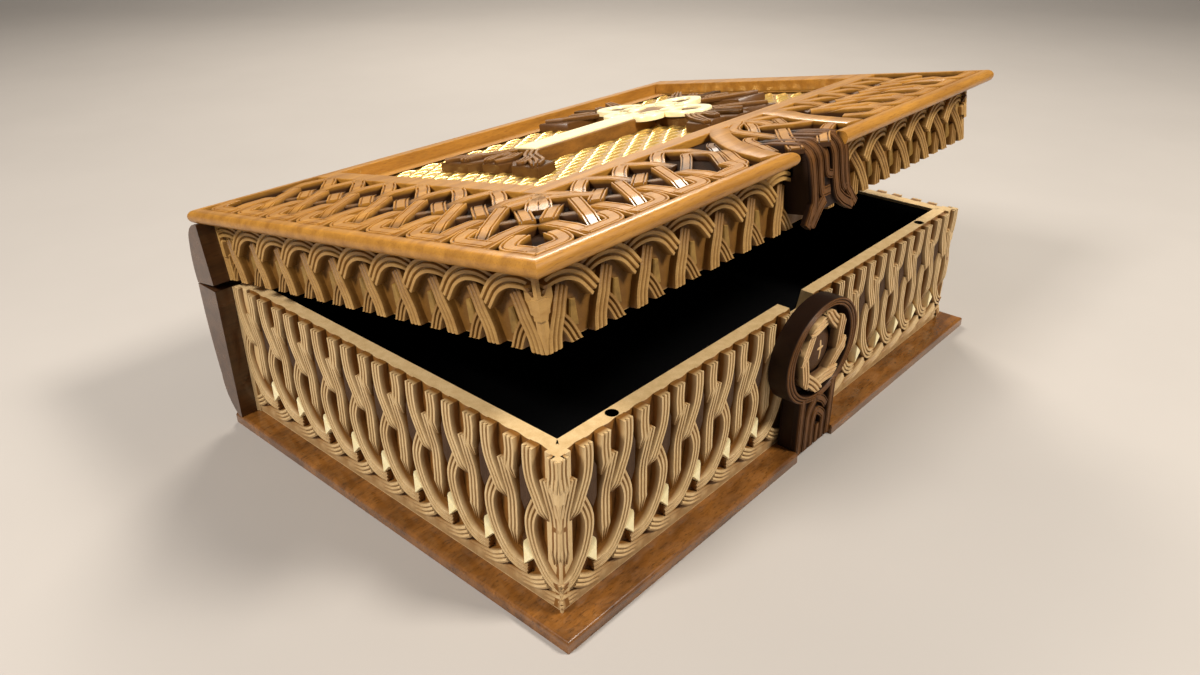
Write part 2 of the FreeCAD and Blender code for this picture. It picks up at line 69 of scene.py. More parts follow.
# The same part at each of several shifts
def repeatPart(part, shifts):
    shifts = np.asarray(shifts, float).reshape(-1, 3)
    many, count = len(shifts), len(part["points"])
    points = (part["points"][None] + shifts[:, None]).reshape(-1, 3)
    loops = (part["loops"][None] + np.arange(many)[:, None] * count).ravel()
    return newPart(points, loops, np.tile(part["sizes"], many), np.tile(part["depth"], many))


# Point = origin + a*first + b*second + c*third; faces turn round where the three axes are left-handed
def placePart(part, origin, a, b, c):
    points = np.asarray(origin, float) + part["points"] @ np.array([a, b, c])
    placed = dict(part, points=points)
    return turnFaces(placed) if np.dot(np.cross(a, b), c) < 0 else placed


# Corner order of every face reversed
def turnFaces(part):
    ends = np.cumsum(part["sizes"])
    starts = ends - part["sizes"]
    order = np.repeat(starts + ends - 1, part["sizes"]) - np.arange(len(part["loops"]))
    return dict(part, loops=part["loops"][order])


def shiftPart(part, x, y, z):
    return dict(part, points=part["points"] + [x, y, z])


# The same part in a row along x, from one step to before another
def rowOf(part, pitch, start, stop, first=0):
    return repeatPart(part, [(first + pitch * k, 0, 0) for k in range(start, stop)])


def mirrorX(part):
    return placePart(part, (0, 0, 0), -runX, runY, runZ)


# Lid pieces are drawn shut and swung up about the hinge axis
def openLid(part):
    turn = radians(box["openAngle"])
    c, s = np.cos(turn), np.sin(turn)
    x, y, z = (part["points"] - [0, box["axisY"], box["axisZ"]]).T
    points = np.stack([x, y * c + z * s, z * c - y * s], 1) + [0, box["axisY"], box["axisZ"]]
    return dict(part, points=points)


# Quads of a grid of rows x columns, either way round closed
def gridLoops(rows, cols, closeRows=False, closeCols=False):
    r = np.arange(rows if closeRows else rows - 1)[:, None]
    c = np.arange(cols if closeCols else cols - 1)[None, :]
    r2, c2 = (r + 1) % rows, (c + 1) % cols
    quads = np.stack([r * cols + c, r2 * cols + c, r2 * cols + c2, r * cols + c2], -1)
    return quads.reshape(-1)


def gridPart(points, depth=None, closeRows=False, closeCols=False, caps=False):
    rows, cols = points.shape[:2]
    loops = gridLoops(rows, cols, closeRows, closeCols)
    sizes = np.full(len(loops) // 4, 4)
    if caps:
        last = (rows - 1) * cols + np.arange(cols)[::-1]
        loops = np.concatenate([loops, np.arange(cols), last])
        sizes = np.concatenate([sizes, [cols, cols]])
    return newPart(points, loops, sizes, depth)


# Puts a part into a mesh object, in metres, with its depth kept as an attribute for the materials
def newObject(name, part, material):
    mesh = bpy.data.meshes.new(name)
    mesh.vertices.add(len(part["points"]))
    mesh.vertices.foreach_set("co", (part["points"] * toMetres).astype(np.float32).ravel())
    mesh.loops.add(len(part["loops"]))
    mesh.loops.foreach_set("vertex_index", part["loops"].astype(np.int32))
    mesh.polygons.add(len(part["sizes"]))
    starts = np.cumsum(part["sizes"]) - part["sizes"]
    mesh.polygons.foreach_set("loop_start", starts.astype(np.int32))
    mesh.update(calc_edges=True)
    layer = mesh.attributes.new("depth", "FLOAT", "POINT")
    layer.data.foreach_set("value", part["depth"].astype(np.float32))
    mesh.polygons.foreach_set("use_smooth", np.ones(len(part["sizes"]), bool))
    mesh.set_sharp_from_angle(angle=radians(sharpDegrees))
    mesh.validate()
    piece = bpy.data.objects.new(name, mesh)
    bpy.context.scene.collection.objects.link(piece)
    mesh.materials.append(material)
    return piece


# A piece of the box: it rides on the case or the lid, takes the place of CAD nodes and has a material slot
def makePiece(name, part, body, material, nodes=()):
    piece = newObject(name, openLid(part) if body == "lid" else part, material)
    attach(piece, body)
    if nodes:
        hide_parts(*nodes)
    return piece


# Catmull-Rom curve: the cubic through the four nearest guide points at each share of the way
def smoothPath(guide, steps):
    g = np.asarray(guide, float)
    g = np.vstack([2 * g[0] - g[1], g, 2 * g[-1] - g[-2]])
    spans = len(g) - 3
    t = np.linspace(0, spans, steps)
    i = np.minimum(t.astype(int), spans - 1)
    s = (t - i)[:, None]
    a, b, c, d = g[i], g[i + 1], g[i + 2], g[i + 3]
    return 0.5 * (2 * b + (c - a) * s + (2 * a - 5 * b + 4 * c - d) * s ** 2
                  + (3 * b - a - 3 * c + d) * s ** 3)


ribbonSet = {"floor": 4, "reach": 3.6, "steps": 26, "perRidge": 6, "roundness": 0.55}
level, evenWidth = ((0, 0), (1, 0)), ((0, 1), (1, 1))


# Section of a carved ribbon, as share across and height: rounded ridges with fine grooves between
def ridgeSection(ridges, groove, edge):
    across = np.linspace(-0.5, 0.5, ridges * ribbonSet["perRidge"] + 1)
    wave = np.abs(np.sin((across + 0.5) * ridges * np.pi))
    height = -groove * (1 - wave ** ribbonSet["roundness"])
    height[[0, -1]] = -edge
    across = np.concatenate([[-0.5], across, [0.5]])
    floor = [-ribbonSet["floor"]]
    return np.stack([across, np.concatenate([floor, height, floor])], 1)


# Section given by its left half
def mirroredSection(half):
    half = [(-0.5, -ribbonSet["floor"])] + half
    return np.array(half + [(-across, height) for across, height in half[::-1]])


# Ribbon: at each step the section lies square across the path; lift bends it under and over,
# taper narrows it
def sweepRibbon(guide, section, width, lift=level, taper=evenWidth, steps=ribbonSet["steps"],
                floor=ribbonSet["floor"], reach=ribbonSet["reach"]):
    path = smoothPath(guide, steps)
    run = np.gradient(path, axis=0)
    run /= np.linalg.norm(run, axis=1, keepdims=True)
    side = np.stack([-run[:, 1], run[:, 0]], 1)
    share = np.linspace(0, 1, steps)
    wide = width * np.interp(share, *np.array(taper, float).T)
    across, height = section.T
    flat = path[:, None] + side[:, None] * (across[None, :, None] * wide[:, None, None])
    high = np.maximum(height[None] + np.interp(share, *np.array(lift, float).T)[:, None], -floor)
    points = np.concatenate([flat, high[..., None]], 2)
    # The depth below the top goes to the materials as stain and painted shade
    return gridPart(points, np.clip(-high / reach, 0, 1), caps=True)


# Flat-topped block over an outline: walls, a bevel ring set in along the corners' bisectors, and a top
def outlineBlock(outline, low, high, bevel, depth=0):
    p = np.asarray(outline, float)
    before, after = p - np.roll(p, 1, 0), np.roll(p, -1, 0) - p
    before /= np.linalg.norm(before, axis=1, keepdims=True)
    after /= np.linalg.norm(after, axis=1, keepdims=True)
    inward = np.stack([-(before + after)[:, 1], (before + after)[:, 0]], 1)
    normal = np.stack([-before[:, 1], before[:, 0]], 1)
    inward /= np.maximum(np.sum(inward * normal, 1, keepdims=True), 0.5)
    rings = [(p, low), (p, high - bevel), (p + inward * bevel, high)]
    points = np.stack([np.column_stack([ring, np.full(len(p), z)]) for ring, z in rings])
    count = len(p)
    loops = gridLoops(3, count, closeCols=True)
    sizes = np.full(len(loops) // 4, 4)
    quads = loops.reshape(-1, 4)[:, ::-1].ravel()
    loops = np.concatenate([quads, 2 * count + np.arange(count), np.arange(count)[::-1]])
    return newPart(points, loops, np.concatenate([sizes, [count, count]]),
                   np.full(3 * count, depth))


# Flat strap with two incised lines, one with fine lines by its edges, and a plain flat band
twoRidges = mirroredSection([(-0.5, -0.12), (-0.48, 0), (-0.29, 0), (-0.23, -1), (-0.16, -1), (-0.10, 0)])
edgeLines = mirroredSection([(-0.5, -0.12), (-0.48, 0), (-0.39, 0), (-0.35, -0.7), (-0.30, -0.7), (-0.26, 0)])
bandSection = mirroredSection([(-0.5, -0.3), (-0.46, 0)])
threeRidges = ridgeSection(3, 0.9, 0.35)
plainRibbon = ridgeSection(1, 0.5, 0.6)
print("helpers ready")


def newMaterial(name):
    material = bpy.data.materials.new(name)
    material.use_nodes = True
    tree = material.node_tree
    return material, tree, tree.nodes["Principled BSDF"]


def addNode(tree, kind, **values):
    node = tree.nodes.new(kind)
    for key, value in values.items():
        if hasattr(node, key):
            setattr(node, key, value)
        else:
            node.inputs[key].default_value = value
    return node


# Noise drawn on Object coordinates, squeezed along the grain
def grainNoise(tree, stretch, scale, detail=6, rough=0.6):
    where = addNode(tree, "ShaderNodeTexCoord")
    mapping = addNode(tree, "ShaderNodeMapping")
    mapping.inputs["Scale"].default_value = stretch
    tree.links.new(where.outputs["Object"], mapping.inputs["Vector"])
    noise = addNode(tree, "ShaderNodeTexNoise", Scale=scale, Detail=detail, Roughness=rough)
    tree.links.new(mapping.outputs["Vector"], noise.inputs["Vector"])
    return noise.outputs["Fac"]


def colourRamp(tree, fac, places, colours):
    ramp = addNode(tree, "ShaderNodeValToRGB")
    for element, place, colour in zip(ramp.color_ramp.elements, places, colours):
        element.position = place
        element.color = (*colour, 1)
    tree.links.new(fac, ramp.inputs["Fac"])
    return ramp.outputs["Color"]


# The colours are a link or a plain colour
def mixColours(tree, fac, first, second):
    mix = addNode(tree, "ShaderNodeMix", data_type="RGBA")
    for value, place in ((fac, 0), (first, 6), (second, 7)):
        if isinstance(value, tuple):
            mix.inputs[place].default_value = (*value, 1)
        else:
            tree.links.new(value, mix.inputs[place])
    return mix.outputs[2]


def addBump(tree, shader, height, strength, distance):
    bump = addNode(tree, "ShaderNodeBump", Strength=strength, Distance=distance)
    tree.links.new(height, bump.inputs["Height"])
    tree.links.new(bump.outputs["Normal"], shader.inputs["Normal"])


def setInputs(node, values):
    for key, value in values.items():
        node.inputs[key].default_value = value


def linkRoughness(tree, shader, fac, low, high):
    rough = addNode(tree, "ShaderNodeMapRange", **{"To Min": low, "To Max": high})
    tree.links.new(fac, rough.inputs["Value"])
    tree.links.new(rough.outputs["Result"], shader.inputs["Roughness"])


black, white = (0, 0, 0), (1, 1, 1)
woodBase = {
    "stretch": (0.3, 1, 1), "grainStops": (0.3, 0.72),
    "pores": 0.5, "poreStops": (0.52, 0.75), "poreScale": 5,
    "blotchScale": 300, "fade": (0.2, 0.62), "roughness": (0.4, 0.58), "specular": 0.4,
    "coat": 0.1, "coatRoughness": 0.35, "bump": 0.25, "bumpHeight": 0.0006,
}


# Wood: grain between two colours, fine pores, and a darker tone that follows how deep the carving goes,
# partly the stain of the carved ground and partly painted shade in grooves and recesses
def carvedWood(name, scale, light, dark, pore, stainShadeLight, stainShadeDark, **own):
    s = dict(woodBase, **own)
    material, tree, shader = newMaterial(name)
    grain = grainNoise(tree, s["stretch"], scale)
    body = colourRamp(tree, grain, s["grainStops"], (light, dark))
    pores = grainNoise(tree, tuple(2 * v for v in s["stretch"]), scale * s["poreScale"], 3)
    body = mixColours(tree, colourRamp(tree, pores, s["poreStops"], (black, (s["pores"],) * 3)), body, pore)
    depth = addNode(tree, "ShaderNodeAttribute", attribute_name="depth")
    blotch = grainNoise(tree, (1, 1, 1), s["blotchScale"], 4)
    stainAndShade = mixColours(tree, blotch, stainShadeLight, stainShadeDark)
    # Deeper carving takes more of the darker tone: stain on the ground, and painted shade in grooves and
    # recesses
    body = mixColours(tree, colourRamp(tree, depth.outputs["Fac"], s["fade"], (black, white)), body, stainAndShade)
    tree.links.new(body, shader.inputs["Base Color"])
    linkRoughness(tree, shader, grain, *s["roughness"])
    setInputs(shader, {"Specular IOR Level": s["specular"], "Coat Weight": s["coat"],
                       "Coat Roughness": s["coatRoughness"]})
    addBump(tree, shader, pores, s["bump"], s["bumpHeight"])
    return material


# Each wood: name, scale of the grain, its light and dark, the pores, the light and dark of the stain and
# painted shade
paleCarving = carvedWood(
    "pale_carving", 260, (0.67, 0.485, 0.255), (0.53, 0.355, 0.16),
    (0.36, 0.20, 0.07), (0.25, 0.105, 0.018), (0.14, 0.054, 0.008),
    stretch=(1, 1, 0.18), fade=(0.06, 0.6), roughness=(0.42, 0.6), coat=0.08)
lidCarving = carvedWood(
    "lid_carving", 240, (0.46, 0.275, 0.09), (0.33, 0.175, 0.048),
    (0.22, 0.11, 0.03), (0.19, 0.085, 0.014), (0.10, 0.042, 0.007),
    stretch=(0.25, 0.25, 1), blotchScale=420, fade=(0.06, 0.6), bump=0.3, specular=0.25)
honeyWalnut = carvedWood(
    "honey_walnut", 190, (0.47, 0.22, 0.034), (0.26, 0.107, 0.013),
    (0.15, 0.055, 0.01), (0.07, 0.026, 0.006), (0.028, 0.010, 0.003),
    stretch=(0.12, 1, 1), pores=0.6, blotchScale=160, fade=(0.1, 0.6), roughness=(0.34, 0.5),
    coat=0.3, coatRoughness=0.12, bump=0.15, specular=0.25)
groundWalnut = carvedWood(
    "ground_walnut", 200, (0.03, 0.012, 0.004), (0.015, 0.006, 0.002),
    (0.008, 0.003, 0.001), (0.024, 0.009, 0.003), (0.010, 0.004, 0.001),
    blotchScale=260, roughness=(0.75, 0.9), coat=0, coatRoughness=0.5, bump=0.3, specular=0.05)
darkWalnut = carvedWood(
    "dark_walnut", 230, (0.145, 0.056, 0.011), (0.062, 0.023, 0.005),
    (0.03, 0.013, 0.006), (0.022, 0.009, 0.004), (0.012, 0.005, 0.003),
    stretch=(1, 1, 0.15), pores=0.6, blotchScale=180, fade=(0.08, 0.4), roughness=(0.42, 0.58),
    coatRoughness=0.25, bump=0.2, specular=0.15)
crossWalnut = carvedWood(
    "cross_walnut", 210, (0.26, 0.115, 0.022), (0.12, 0.048, 0.009),
    (0.05, 0.02, 0.005), (0.10, 0.04, 0.009), (0.045, 0.017, 0.004),
    blotchScale=240, fade=(0.1, 0.6), roughness=(0.34, 0.5), coat=0.15, coatRoughness=0.2, bump=0.2,
    specular=0.2)
spineWalnut = carvedWood(
    "spine_walnut", 150, (0.10, 0.042, 0.015), (0.035, 0.014, 0.006),
    (0.02, 0.008, 0.004), (0.02, 0.008, 0.004), (0.01, 0.004, 0.002),
    stretch=(0.08, 1, 1), pores=0.6, blotchScale=120, roughness=(0.22, 0.36), coat=0.5,
    coatRoughness=0.12, bump=0.12)
plateWalnut = carvedWood(
    "plate_walnut", 130, (0.27, 0.105, 0.02), (0.075, 0.027, 0.006),
    (0.02, 0.008, 0.003), (0.02, 0.008, 0.004), (0.01, 0.004, 0.002),
    pores=0.7, blotchScale=110, roughness=(0.16, 0.3), coat=0.6, coatRoughness=0.1, bump=0.1)
paleKnot = carvedWood(
    "pale_knot", 260, (0.62, 0.42, 0.20), (0.46, 0.27, 0.11),
    (0.30, 0.15, 0.05), (0.16, 0.075, 0.025), (0.05, 0.022, 0.010),
    stretch=(1, 1, 0.3), fade=(0.2, 0.75), coatRoughness=0.3)
duskInlay = carvedWood(
    "dusk_inlay", 320, (0.085, 0.046, 0.026), (0.05, 0.027, 0.015),
    (0.015, 0.01, 0.008), (0.03, 0.02, 0.015), (0.02, 0.012, 0.01),
    stretch=(1, 1, 0.2), pores=0.7, fade=(0.2, 0.8), roughness=(0.6, 0.8), coat=0,
    coatRoughness=0.3, bump=0.4, specular=0.15)


metalBase = {"stretch": (1, 1, 1), "detail": 5, "stops": (0.3, 0.7), "bumpHeight": 0.0005}


# Metal with a mottled tone; scratches or leaf wrinkles come from the same noise
def mottledMetal(name, **own):
    s = dict(metalBase, **own)
    material, tree, shader = newMaterial(name)
    noise = grainNoise(tree, s["stretch"], s["scale"], s["detail"])
    tone = colourRamp(tree, noise, s["stops"], (s["light"], s["dark"]))
    tree.links.new(tone, shader.inputs["Base Color"])
    linkRoughness(tree, shader, noise, *s["roughness"])
    setInputs(shader, {"Metallic": s["metallic"]})
    addBump(tree, shader, noise, s["bump"], s["bumpHeight"])
    return material


goldLeaf = mottledMetal("gold_leaf", scale=220, light=(0.97, 0.68, 0.20), dark=(0.76, 0.44, 0.09),
                        roughness=(0.16, 0.34), metallic=0.65, bump=0.35)
# Darker copy of the gold leaf: painted shade, on the ground between the gilded bars and on the lid's chips
shadedGold = mottledMetal("shaded_gold", scale=200, light=(0.38, 0.22, 0.05), dark=(0.16, 0.085, 0.016),
                        roughness=(0.35, 0.55), metallic=0.4, bump=0.3)
paleGold = mottledMetal("pale_gold", scale=260, light=(1, 0.90, 0.58), dark=(0.95, 0.80, 0.42),
                        roughness=(0.24, 0.38), metallic=0.12, bump=0.12)
hingeBrass = mottledMetal("hinge_brass", stretch=(0.1, 1, 1), scale=400, light=(0.75, 0.56, 0.26),
                          dark=(0.60, 0.42, 0.17), roughness=(0.22, 0.4), metallic=1, bump=0.1)
magnetBlack = mottledMetal("magnet_black", scale=500, light=(0.02, 0.02, 0.021), dark=(0.008, 0.008, 0.009),
                           roughness=(0.25, 0.4), metallic=0.6, bump=0.1)


velvetSet = {
    "scale": 1400, "detail": 3, "stops": (0.3, 0.7), "light": (0.0035, 0.0035, 0.004),
    "dark": (0.0012, 0.0012, 0.0014), "roughness": 0.95, "specular": 0.05, "sheen": 0.02,
    "sheenRoughness": 0.4, "bump": 0.3, "bumpHeight": 0.0006,
}


# Velvet: almost black pile with a faint cool sheen
def velvetCloth():
    s = velvetSet
    material, tree, shader = newMaterial("black_velvet")
    pile = grainNoise(tree, (1, 1, 1), s["scale"], s["detail"])
    tree.links.new(colourRamp(tree, pile, s["stops"], (s["light"], s["dark"])), shader.inputs["Base Color"])
    setInputs(shader, {"Roughness": s["roughness"], "Specular IOR Level": s["specular"],
                       "Sheen Weight": s["sheen"], "Sheen Roughness": s["sheenRoughness"]})
    addBump(tree, shader, pile, s["bump"], s["bumpHeight"])
    return material


blackVelvet = velvetCloth()
print("materials ready")


boardSet = {
    "floor": 4, "post": 1.7, "postDrop": 0.8, "step": 1.6, "lip": 0.2, "first": 1.2, "last": 1,
    "rimStep": 0.5, "firstRow": 1.8, "scoop": 0.35, "scoopAlong": 0.61, "scoopUp": 0.37,
    "plinthTop": 7.5, "plinthSlope": 3, "casePlinth": 2.6, "postShade": 0.15, "rimShade": 0.05,
}


# Board behind the ribbons: for each step along the wall a closed loop, front face at the carved floor,
# inner face flat
def backingBoard(length, height, plinth):
    s = boardSet
    post, inward = s["post"], box["wall"]
    along = np.concatenate([[s["postDrop"], post, post + s["lip"]],
                            np.arange(post + s["first"], length - post - s["last"], s["step"]),
                            [length - post - s["lip"], length - post, length - s["postDrop"]]])
    up = np.concatenate([[0, s["rimStep"]], np.arange(s["firstRow"], height - s["last"], s["step"]),
                         [height - s["rimStep"], height]])
    alongGrid, upGrid = np.meshgrid(along, up, indexing="ij")
    onPost = (alongGrid <= post) | (alongGrid >= length - post)
    scoop = s["scoop"] * np.sin(alongGrid * s["scoopAlong"]) * np.sin(upGrid * s["scoopUp"])
    foot = np.clip((s["plinthTop"] - upGrid) / s["plinthSlope"], 0, 1) * plinth
    relief = np.where(onPost, -s["postDrop"], -s["floor"] + foot + scoop)
    front = np.stack([alongGrid, upGrid, relief], -1)
    inner = np.clip(along, inward, length - inward)
    back = np.stack([np.stack([inner, np.full_like(along, z), np.full_like(along, -inward)], -1)
                     for z in (height, 0)], 1)
    # Depth for the stain and painted shade: the carved floor by how deep it lies, the posts and rims a set
    # painted shade
    depth = np.where(onPost, s["postShade"], np.clip(-relief / ribbonSet["reach"], 0, 1))
    depth[:, [0, -1]] = s["rimShade"]
    points = np.concatenate([front, back], 1)
    shade = np.concatenate([depth, np.full((len(along), 2), s["rimShade"])], 1)
    return gridPart(points, shade, closeCols=True, caps=True)


def trimRibbon(part, low, high, start=-np.inf):
    points = part["points"].copy()
    points[:, 1] = np.clip(points[:, 1], low, high)
    points[:, 0] = np.maximum(points[:, 0], start)
    return dict(part, points=points)


# Straps of one repeat: guide, lift, taper, steps; blocks: outline, low, high, bevel
caseCarving = {
    "pitchFront": 20.6, "pitchEnd": 20.45, "frontUnits": 7, "endUnits": 10,
    "ribbon": 4.7, "rope": 5.6, "gap": 0.05,
    "upperLeft": ([(3.1, 67), (2.7, 59.5), (3.4, 52), (2.3, 47.5)],
                  [(0, -0.04), (0.6, -0.04), (1, -1.6)], [(0, 1), (0.72, 1), (1, 0.3)], 26),
    "upperRight": ([(14.2, 67), (14.6, 59.1), (13.7, 52.3), (10.9, 45.6), (8.2, 39.8), (7.4, 36.4)],
                   [(0, 0), (0.75, 0), (1, -2.2)], [(0, 1), (0.8, 1), (1, 0.25)], 34),
    "lowerLeft": ([(6.9, 54.5), (4.8, 46.2), (2.9, 38.9), (2.5, 32.2), (2.9, 25.4), (4.6, 17)],
                  [(0, -0.2), (0.3, -0.7), (0.55, -0.08), (0.8, -0.08), (1, -2.6)],
                  [(0, 1), (0.8, 1), (1, 0.5)], 34),
    "lowerRight": ([(12.2, 42.4), (14.3, 36.6), (14.8, 31), (13.8, 25.4), (11.5, 19.7), (7.4, 14)],
                   [(0, -0.9), (0.2, -0.12), (0.8, -0.12), (1, -1)], evenWidth, 40),
    "runsOn": [(2.4, 10.9), (-2.6, 10.2)], "stopsShort": [(3.2, 11.2), (0.4, 10.4)],
    "roping": ([(8.4, 10), (13.5, 6.6), (19.3, 4.3), (31.5, 2)],
               [(0, -0.16), (0.4, -0.4), (1, -1.9)], [(0, 0.9), (1, 1)], 30),
    "ropingFirst": ([(0.3, 5.2), (5, 3.4), (10.9, 2)], [(0, -0.2), (1, -1.5)], evenWidth, 14),
    "wedge": ([(13.9, 44.3), (18.4, 35.5), (20.6, 40.3), (20.6, 52.4), (18.2, 57.5)], -4.2, -1.6, 0.5),
    "goldChip": ([(13.6, 17.4), (18.9, 12), (18.9, 22.6)], -4.2, -0.3, 0.6),
}


def caseUnit(first):
    s = caseCarving
    guide, *bend = s["lowerRight"]
    lowerRight = (guide + s["stopsShort" if first else "runsOn"], *bend)
    straps = [s["upperLeft"], s["upperRight"], s["lowerLeft"], lowerRight]
    ropes = [s["roping"], s["ropingFirst"]] if first else [s["roping"]]
    parts = [sweepRibbon(guide, twoRidges, s["ribbon"], *bend) for guide, *bend in straps]
    parts += [sweepRibbon(guide, threeRidges, s["rope"], *bend) for guide, *bend in ropes]
    return trimRibbon(joinParts(parts), 0, box["caseHeight"], s["gap"] if first else -np.inf)


def carvedRun(unit, firstUnit, pitch, count):
    return joinParts([firstUnit, rowOf(unit, pitch, 1, count)])


wallFaces = {
    "front": ((-box["halfLength"], box["frontY"]), runX, -runY),
    "tail": ((-box["halfLength"], box["frontY"]), runY, -runX),
    "head": ((box["halfLength"], box["frontY"]), runY, runX),
}
frontLength = 2 * box["halfLength"]
endLength = box["backY"] - box["frontY"]


def onWall(part, name, footZ):
    (x, y), run, outward = wallFaces[name]
    return placePart(part, (x, y, footZ), run, runZ, outward)


# The front's carving runs in from both corners, so one run is turned end for end
def flipRun(part):
    return placePart(part, (frontLength, 0, 0), -runX, runY, runZ)


def stopAtEnd(part):
    part["points"][:, 0] = np.minimum(part["points"][:, 0], endLength - caseCarving["gap"])
    return part


thumbNotch = {"half": 8, "depth": 8, "slope": 1.6, "from": 50}


# Notch in the rim: heights above a level are squeezed, so that the rim drops by the notch's depth
# over its width
def notchHeights(across, height):
    s = thumbNotch
    drop = s["depth"] * np.clip((s["half"] - np.abs(across)) / s["slope"] + 0.5, 0, 1)
    share = 1 - drop / (box["caseHeight"] - s["from"])
    return np.where(height > s["from"], s["from"] + (height - s["from"]) * share, height)


caseUnits = (caseUnit(False), caseUnit(True))
frontRun = carvedRun(*caseUnits, caseCarving["pitchFront"], caseCarving["frontUnits"])
frontBoard = backingBoard(frontLength, box["caseHeight"], boardSet["casePlinth"])
frontWall = joinParts([frontBoard, frontRun, flipRun(frontRun)])
along, height, _ = frontWall["points"].T
frontWall["points"][:, 1] = notchHeights(along - frontLength / 2, height)
makePiece("carved_front_wall", onWall(frontWall, "front", box["footZ"]),
          "case", paleCarving, ["front_wall"])
endRun = stopAtEnd(carvedRun(*caseUnits, caseCarving["pitchEnd"], caseCarving["endUnits"]))
endBoard = backingBoard(endLength, box["caseHeight"], boardSet["casePlinth"])
for wallName in ("tail", "head"):
    makePiece("carved_%s_wall" % wallName, onWall(joinParts([endBoard, endRun]), wallName, box["footZ"]),
              "case", paleCarving, [wallName + "_wall"])


# Small blocks in the pockets: one outline repeated along all four runs
def inlayRuns(block, s, footZ):
    front = rowOf(block, s["pitchFront"], 0, s["frontUnits"] - 1)
    end = rowOf(block, s["pitchEnd"], 0, s["endUnits"] - 1)
    return joinParts([onWall(front, "front", footZ), onWall(flipRun(front), "front", footZ),
                      onWall(end, "tail", footZ), onWall(end, "head", footZ)])


wedges = inlayRuns(outlineBlock(*caseCarving["wedge"]), caseCarving, box["footZ"])
makePiece("case_wedges", wedges, "case", duskInlay, ["case_dark_inlays"])
chips = inlayRuns(outlineBlock(*caseCarving["goldChip"]), caseCarving, box["footZ"])
makePiece("case_gold_chips", chips, "case", paleGold, ["case_gold_inlays"])
print("case walls carved")


# Straps: guide, section, width, lift, taper, steps; blocks: outline, low, high, bevel, shade
lidCarvingSet = {
    "pitchFront": 20.7, "pitchEnd": 20.45, "frontUnits": 7, "endUnits": 10, "headroom": 0.1,
    "straps": [([(0.3, 19.6), (6, 22.9), (13, 23), (19.6, 19.9), (25, 13.8)], twoRidges, 5.6,
                [(0, -2.2), (0.22, -0.6), (0.4, 0), (1, 0)], evenWidth, 30),
               ([(12.8, 18.5), (8.8, 11.5), (5.6, 4.5), (4.4, -1.5)], threeRidges, 5.6,
                [(0, -2), (0.35, -0.7), (1, -0.2)], evenWidth, 24),
               ([(8.5, 10), (12, 5.2), (14.8, -1.5)], twoRidges, 4.8,
                [(0, -2.4), (0.4, -1.4), (1, -0.6)], evenWidth, 20)],
    "chip": ([(13.6, 4), (18.2, 3.4), (18, 12.2), (15.6, 12.8)], -4.2, -2.8, 0.4),
    "cornerBlock": ([(0.1, 11.5), (4.6, 12.5), (5.4, 17), (0.1, 18.5)], -3, -0.1, 0.4, 0.1),
}


def lidRun(pitch, count):
    s = lidCarvingSet
    straps = joinParts([sweepRibbon(*strap) for strap in s["straps"]])
    unit = trimRibbon(straps, 0, box["lidHeight"] - s["headroom"])
    return joinParts([carvedRun(unit, unit, pitch, count), outlineBlock(*s["cornerBlock"])])


lidFront = lidRun(lidCarvingSet["pitchFront"], lidCarvingSet["frontUnits"])
lidFront = joinParts([backingBoard(frontLength, box["lidHeight"], 0), lidFront, flipRun(lidFront)])
makePiece("carved_lid_front", onWall(lidFront, "front", box["lidZ"]),
          "lid", lidCarving, ["lid_front_wall"])
lidEnd = stopAtEnd(lidRun(lidCarvingSet["pitchEnd"], lidCarvingSet["endUnits"]))
lidEnd = joinParts([backingBoard(endLength, box["lidHeight"], 0), lidEnd])
for wallName in ("tail", "head"):
    makePiece("carved_lid_" + wallName, onWall(lidEnd, wallName, box["lidZ"]),
              "lid", lidCarving, ["lid_%s_wall" % wallName])
lidChips = inlayRuns(outlineBlock(*lidCarvingSet["chip"]), lidCarvingSet, box["lidZ"])
makePiece("lid_gold_chips", lidChips, "lid", shadedGold, ["lid_gold_inlays"])


# Blocks at each corner: outer and inner distance from the wall faces, foot, top, bevel, shade
cornerPosts = {
    "case": [(2.2, 8.2, box["footZ"] + 0.1, box["rimZ"] + 0.06, 0.2, 0),
             (0.5, 3.6, 52, box["rimZ"] + 0.12, 0.3, 0),
             (0.9, 3.6, 46, 52, 0.3, 0.15)],
    "lid": [(2.2, 8.2, box["lidZ"] - 0.06, box["coverZ"] - 0.1, 0.2, 0),
            (0.9, 3.6, box["lidZ"] - 0.1, box["lidZ"] + 12, 0.6, 0),
            (-0.1, 3, box["lidZ"] + 11, box["lidZ"] + 18.5, 0.8, 0),
            (-0.12, 1.5, box["lidZ"] + 18, box["coverZ"] - 0.05, 0.3, 0)],
}


def slab(x0, x1, y0, y1, low, high, bevel=0.35, depth=0):
    return outlineBlock([(x0, y0), (x1, y0), (x1, y1), (x0, y1)], low, high, bevel, depth)


def cornerBlocks(rows):
    blocks = []
    for outer, inner, *rest in rows:
        for sideX in (-1, 1):
            for sideY in (-1, 1):
                x = sorted((sideX * (box["halfLength"] - outer), sideX * (box["halfLength"] - inner)))
                y = sorted((sideY * (box["backY"] - outer), sideY * (box["backY"] - inner)))
                blocks.append(slab(*x, *y, *rest))
    return joinParts(blocks)


makePiece("case_corner_posts", cornerBlocks(cornerPosts["case"]), "case", paleCarving, ())
makePiece("lid_corner_posts", cornerBlocks(cornerPosts["lid"]), "lid", lidCarving, ())
print("lid walls carved")


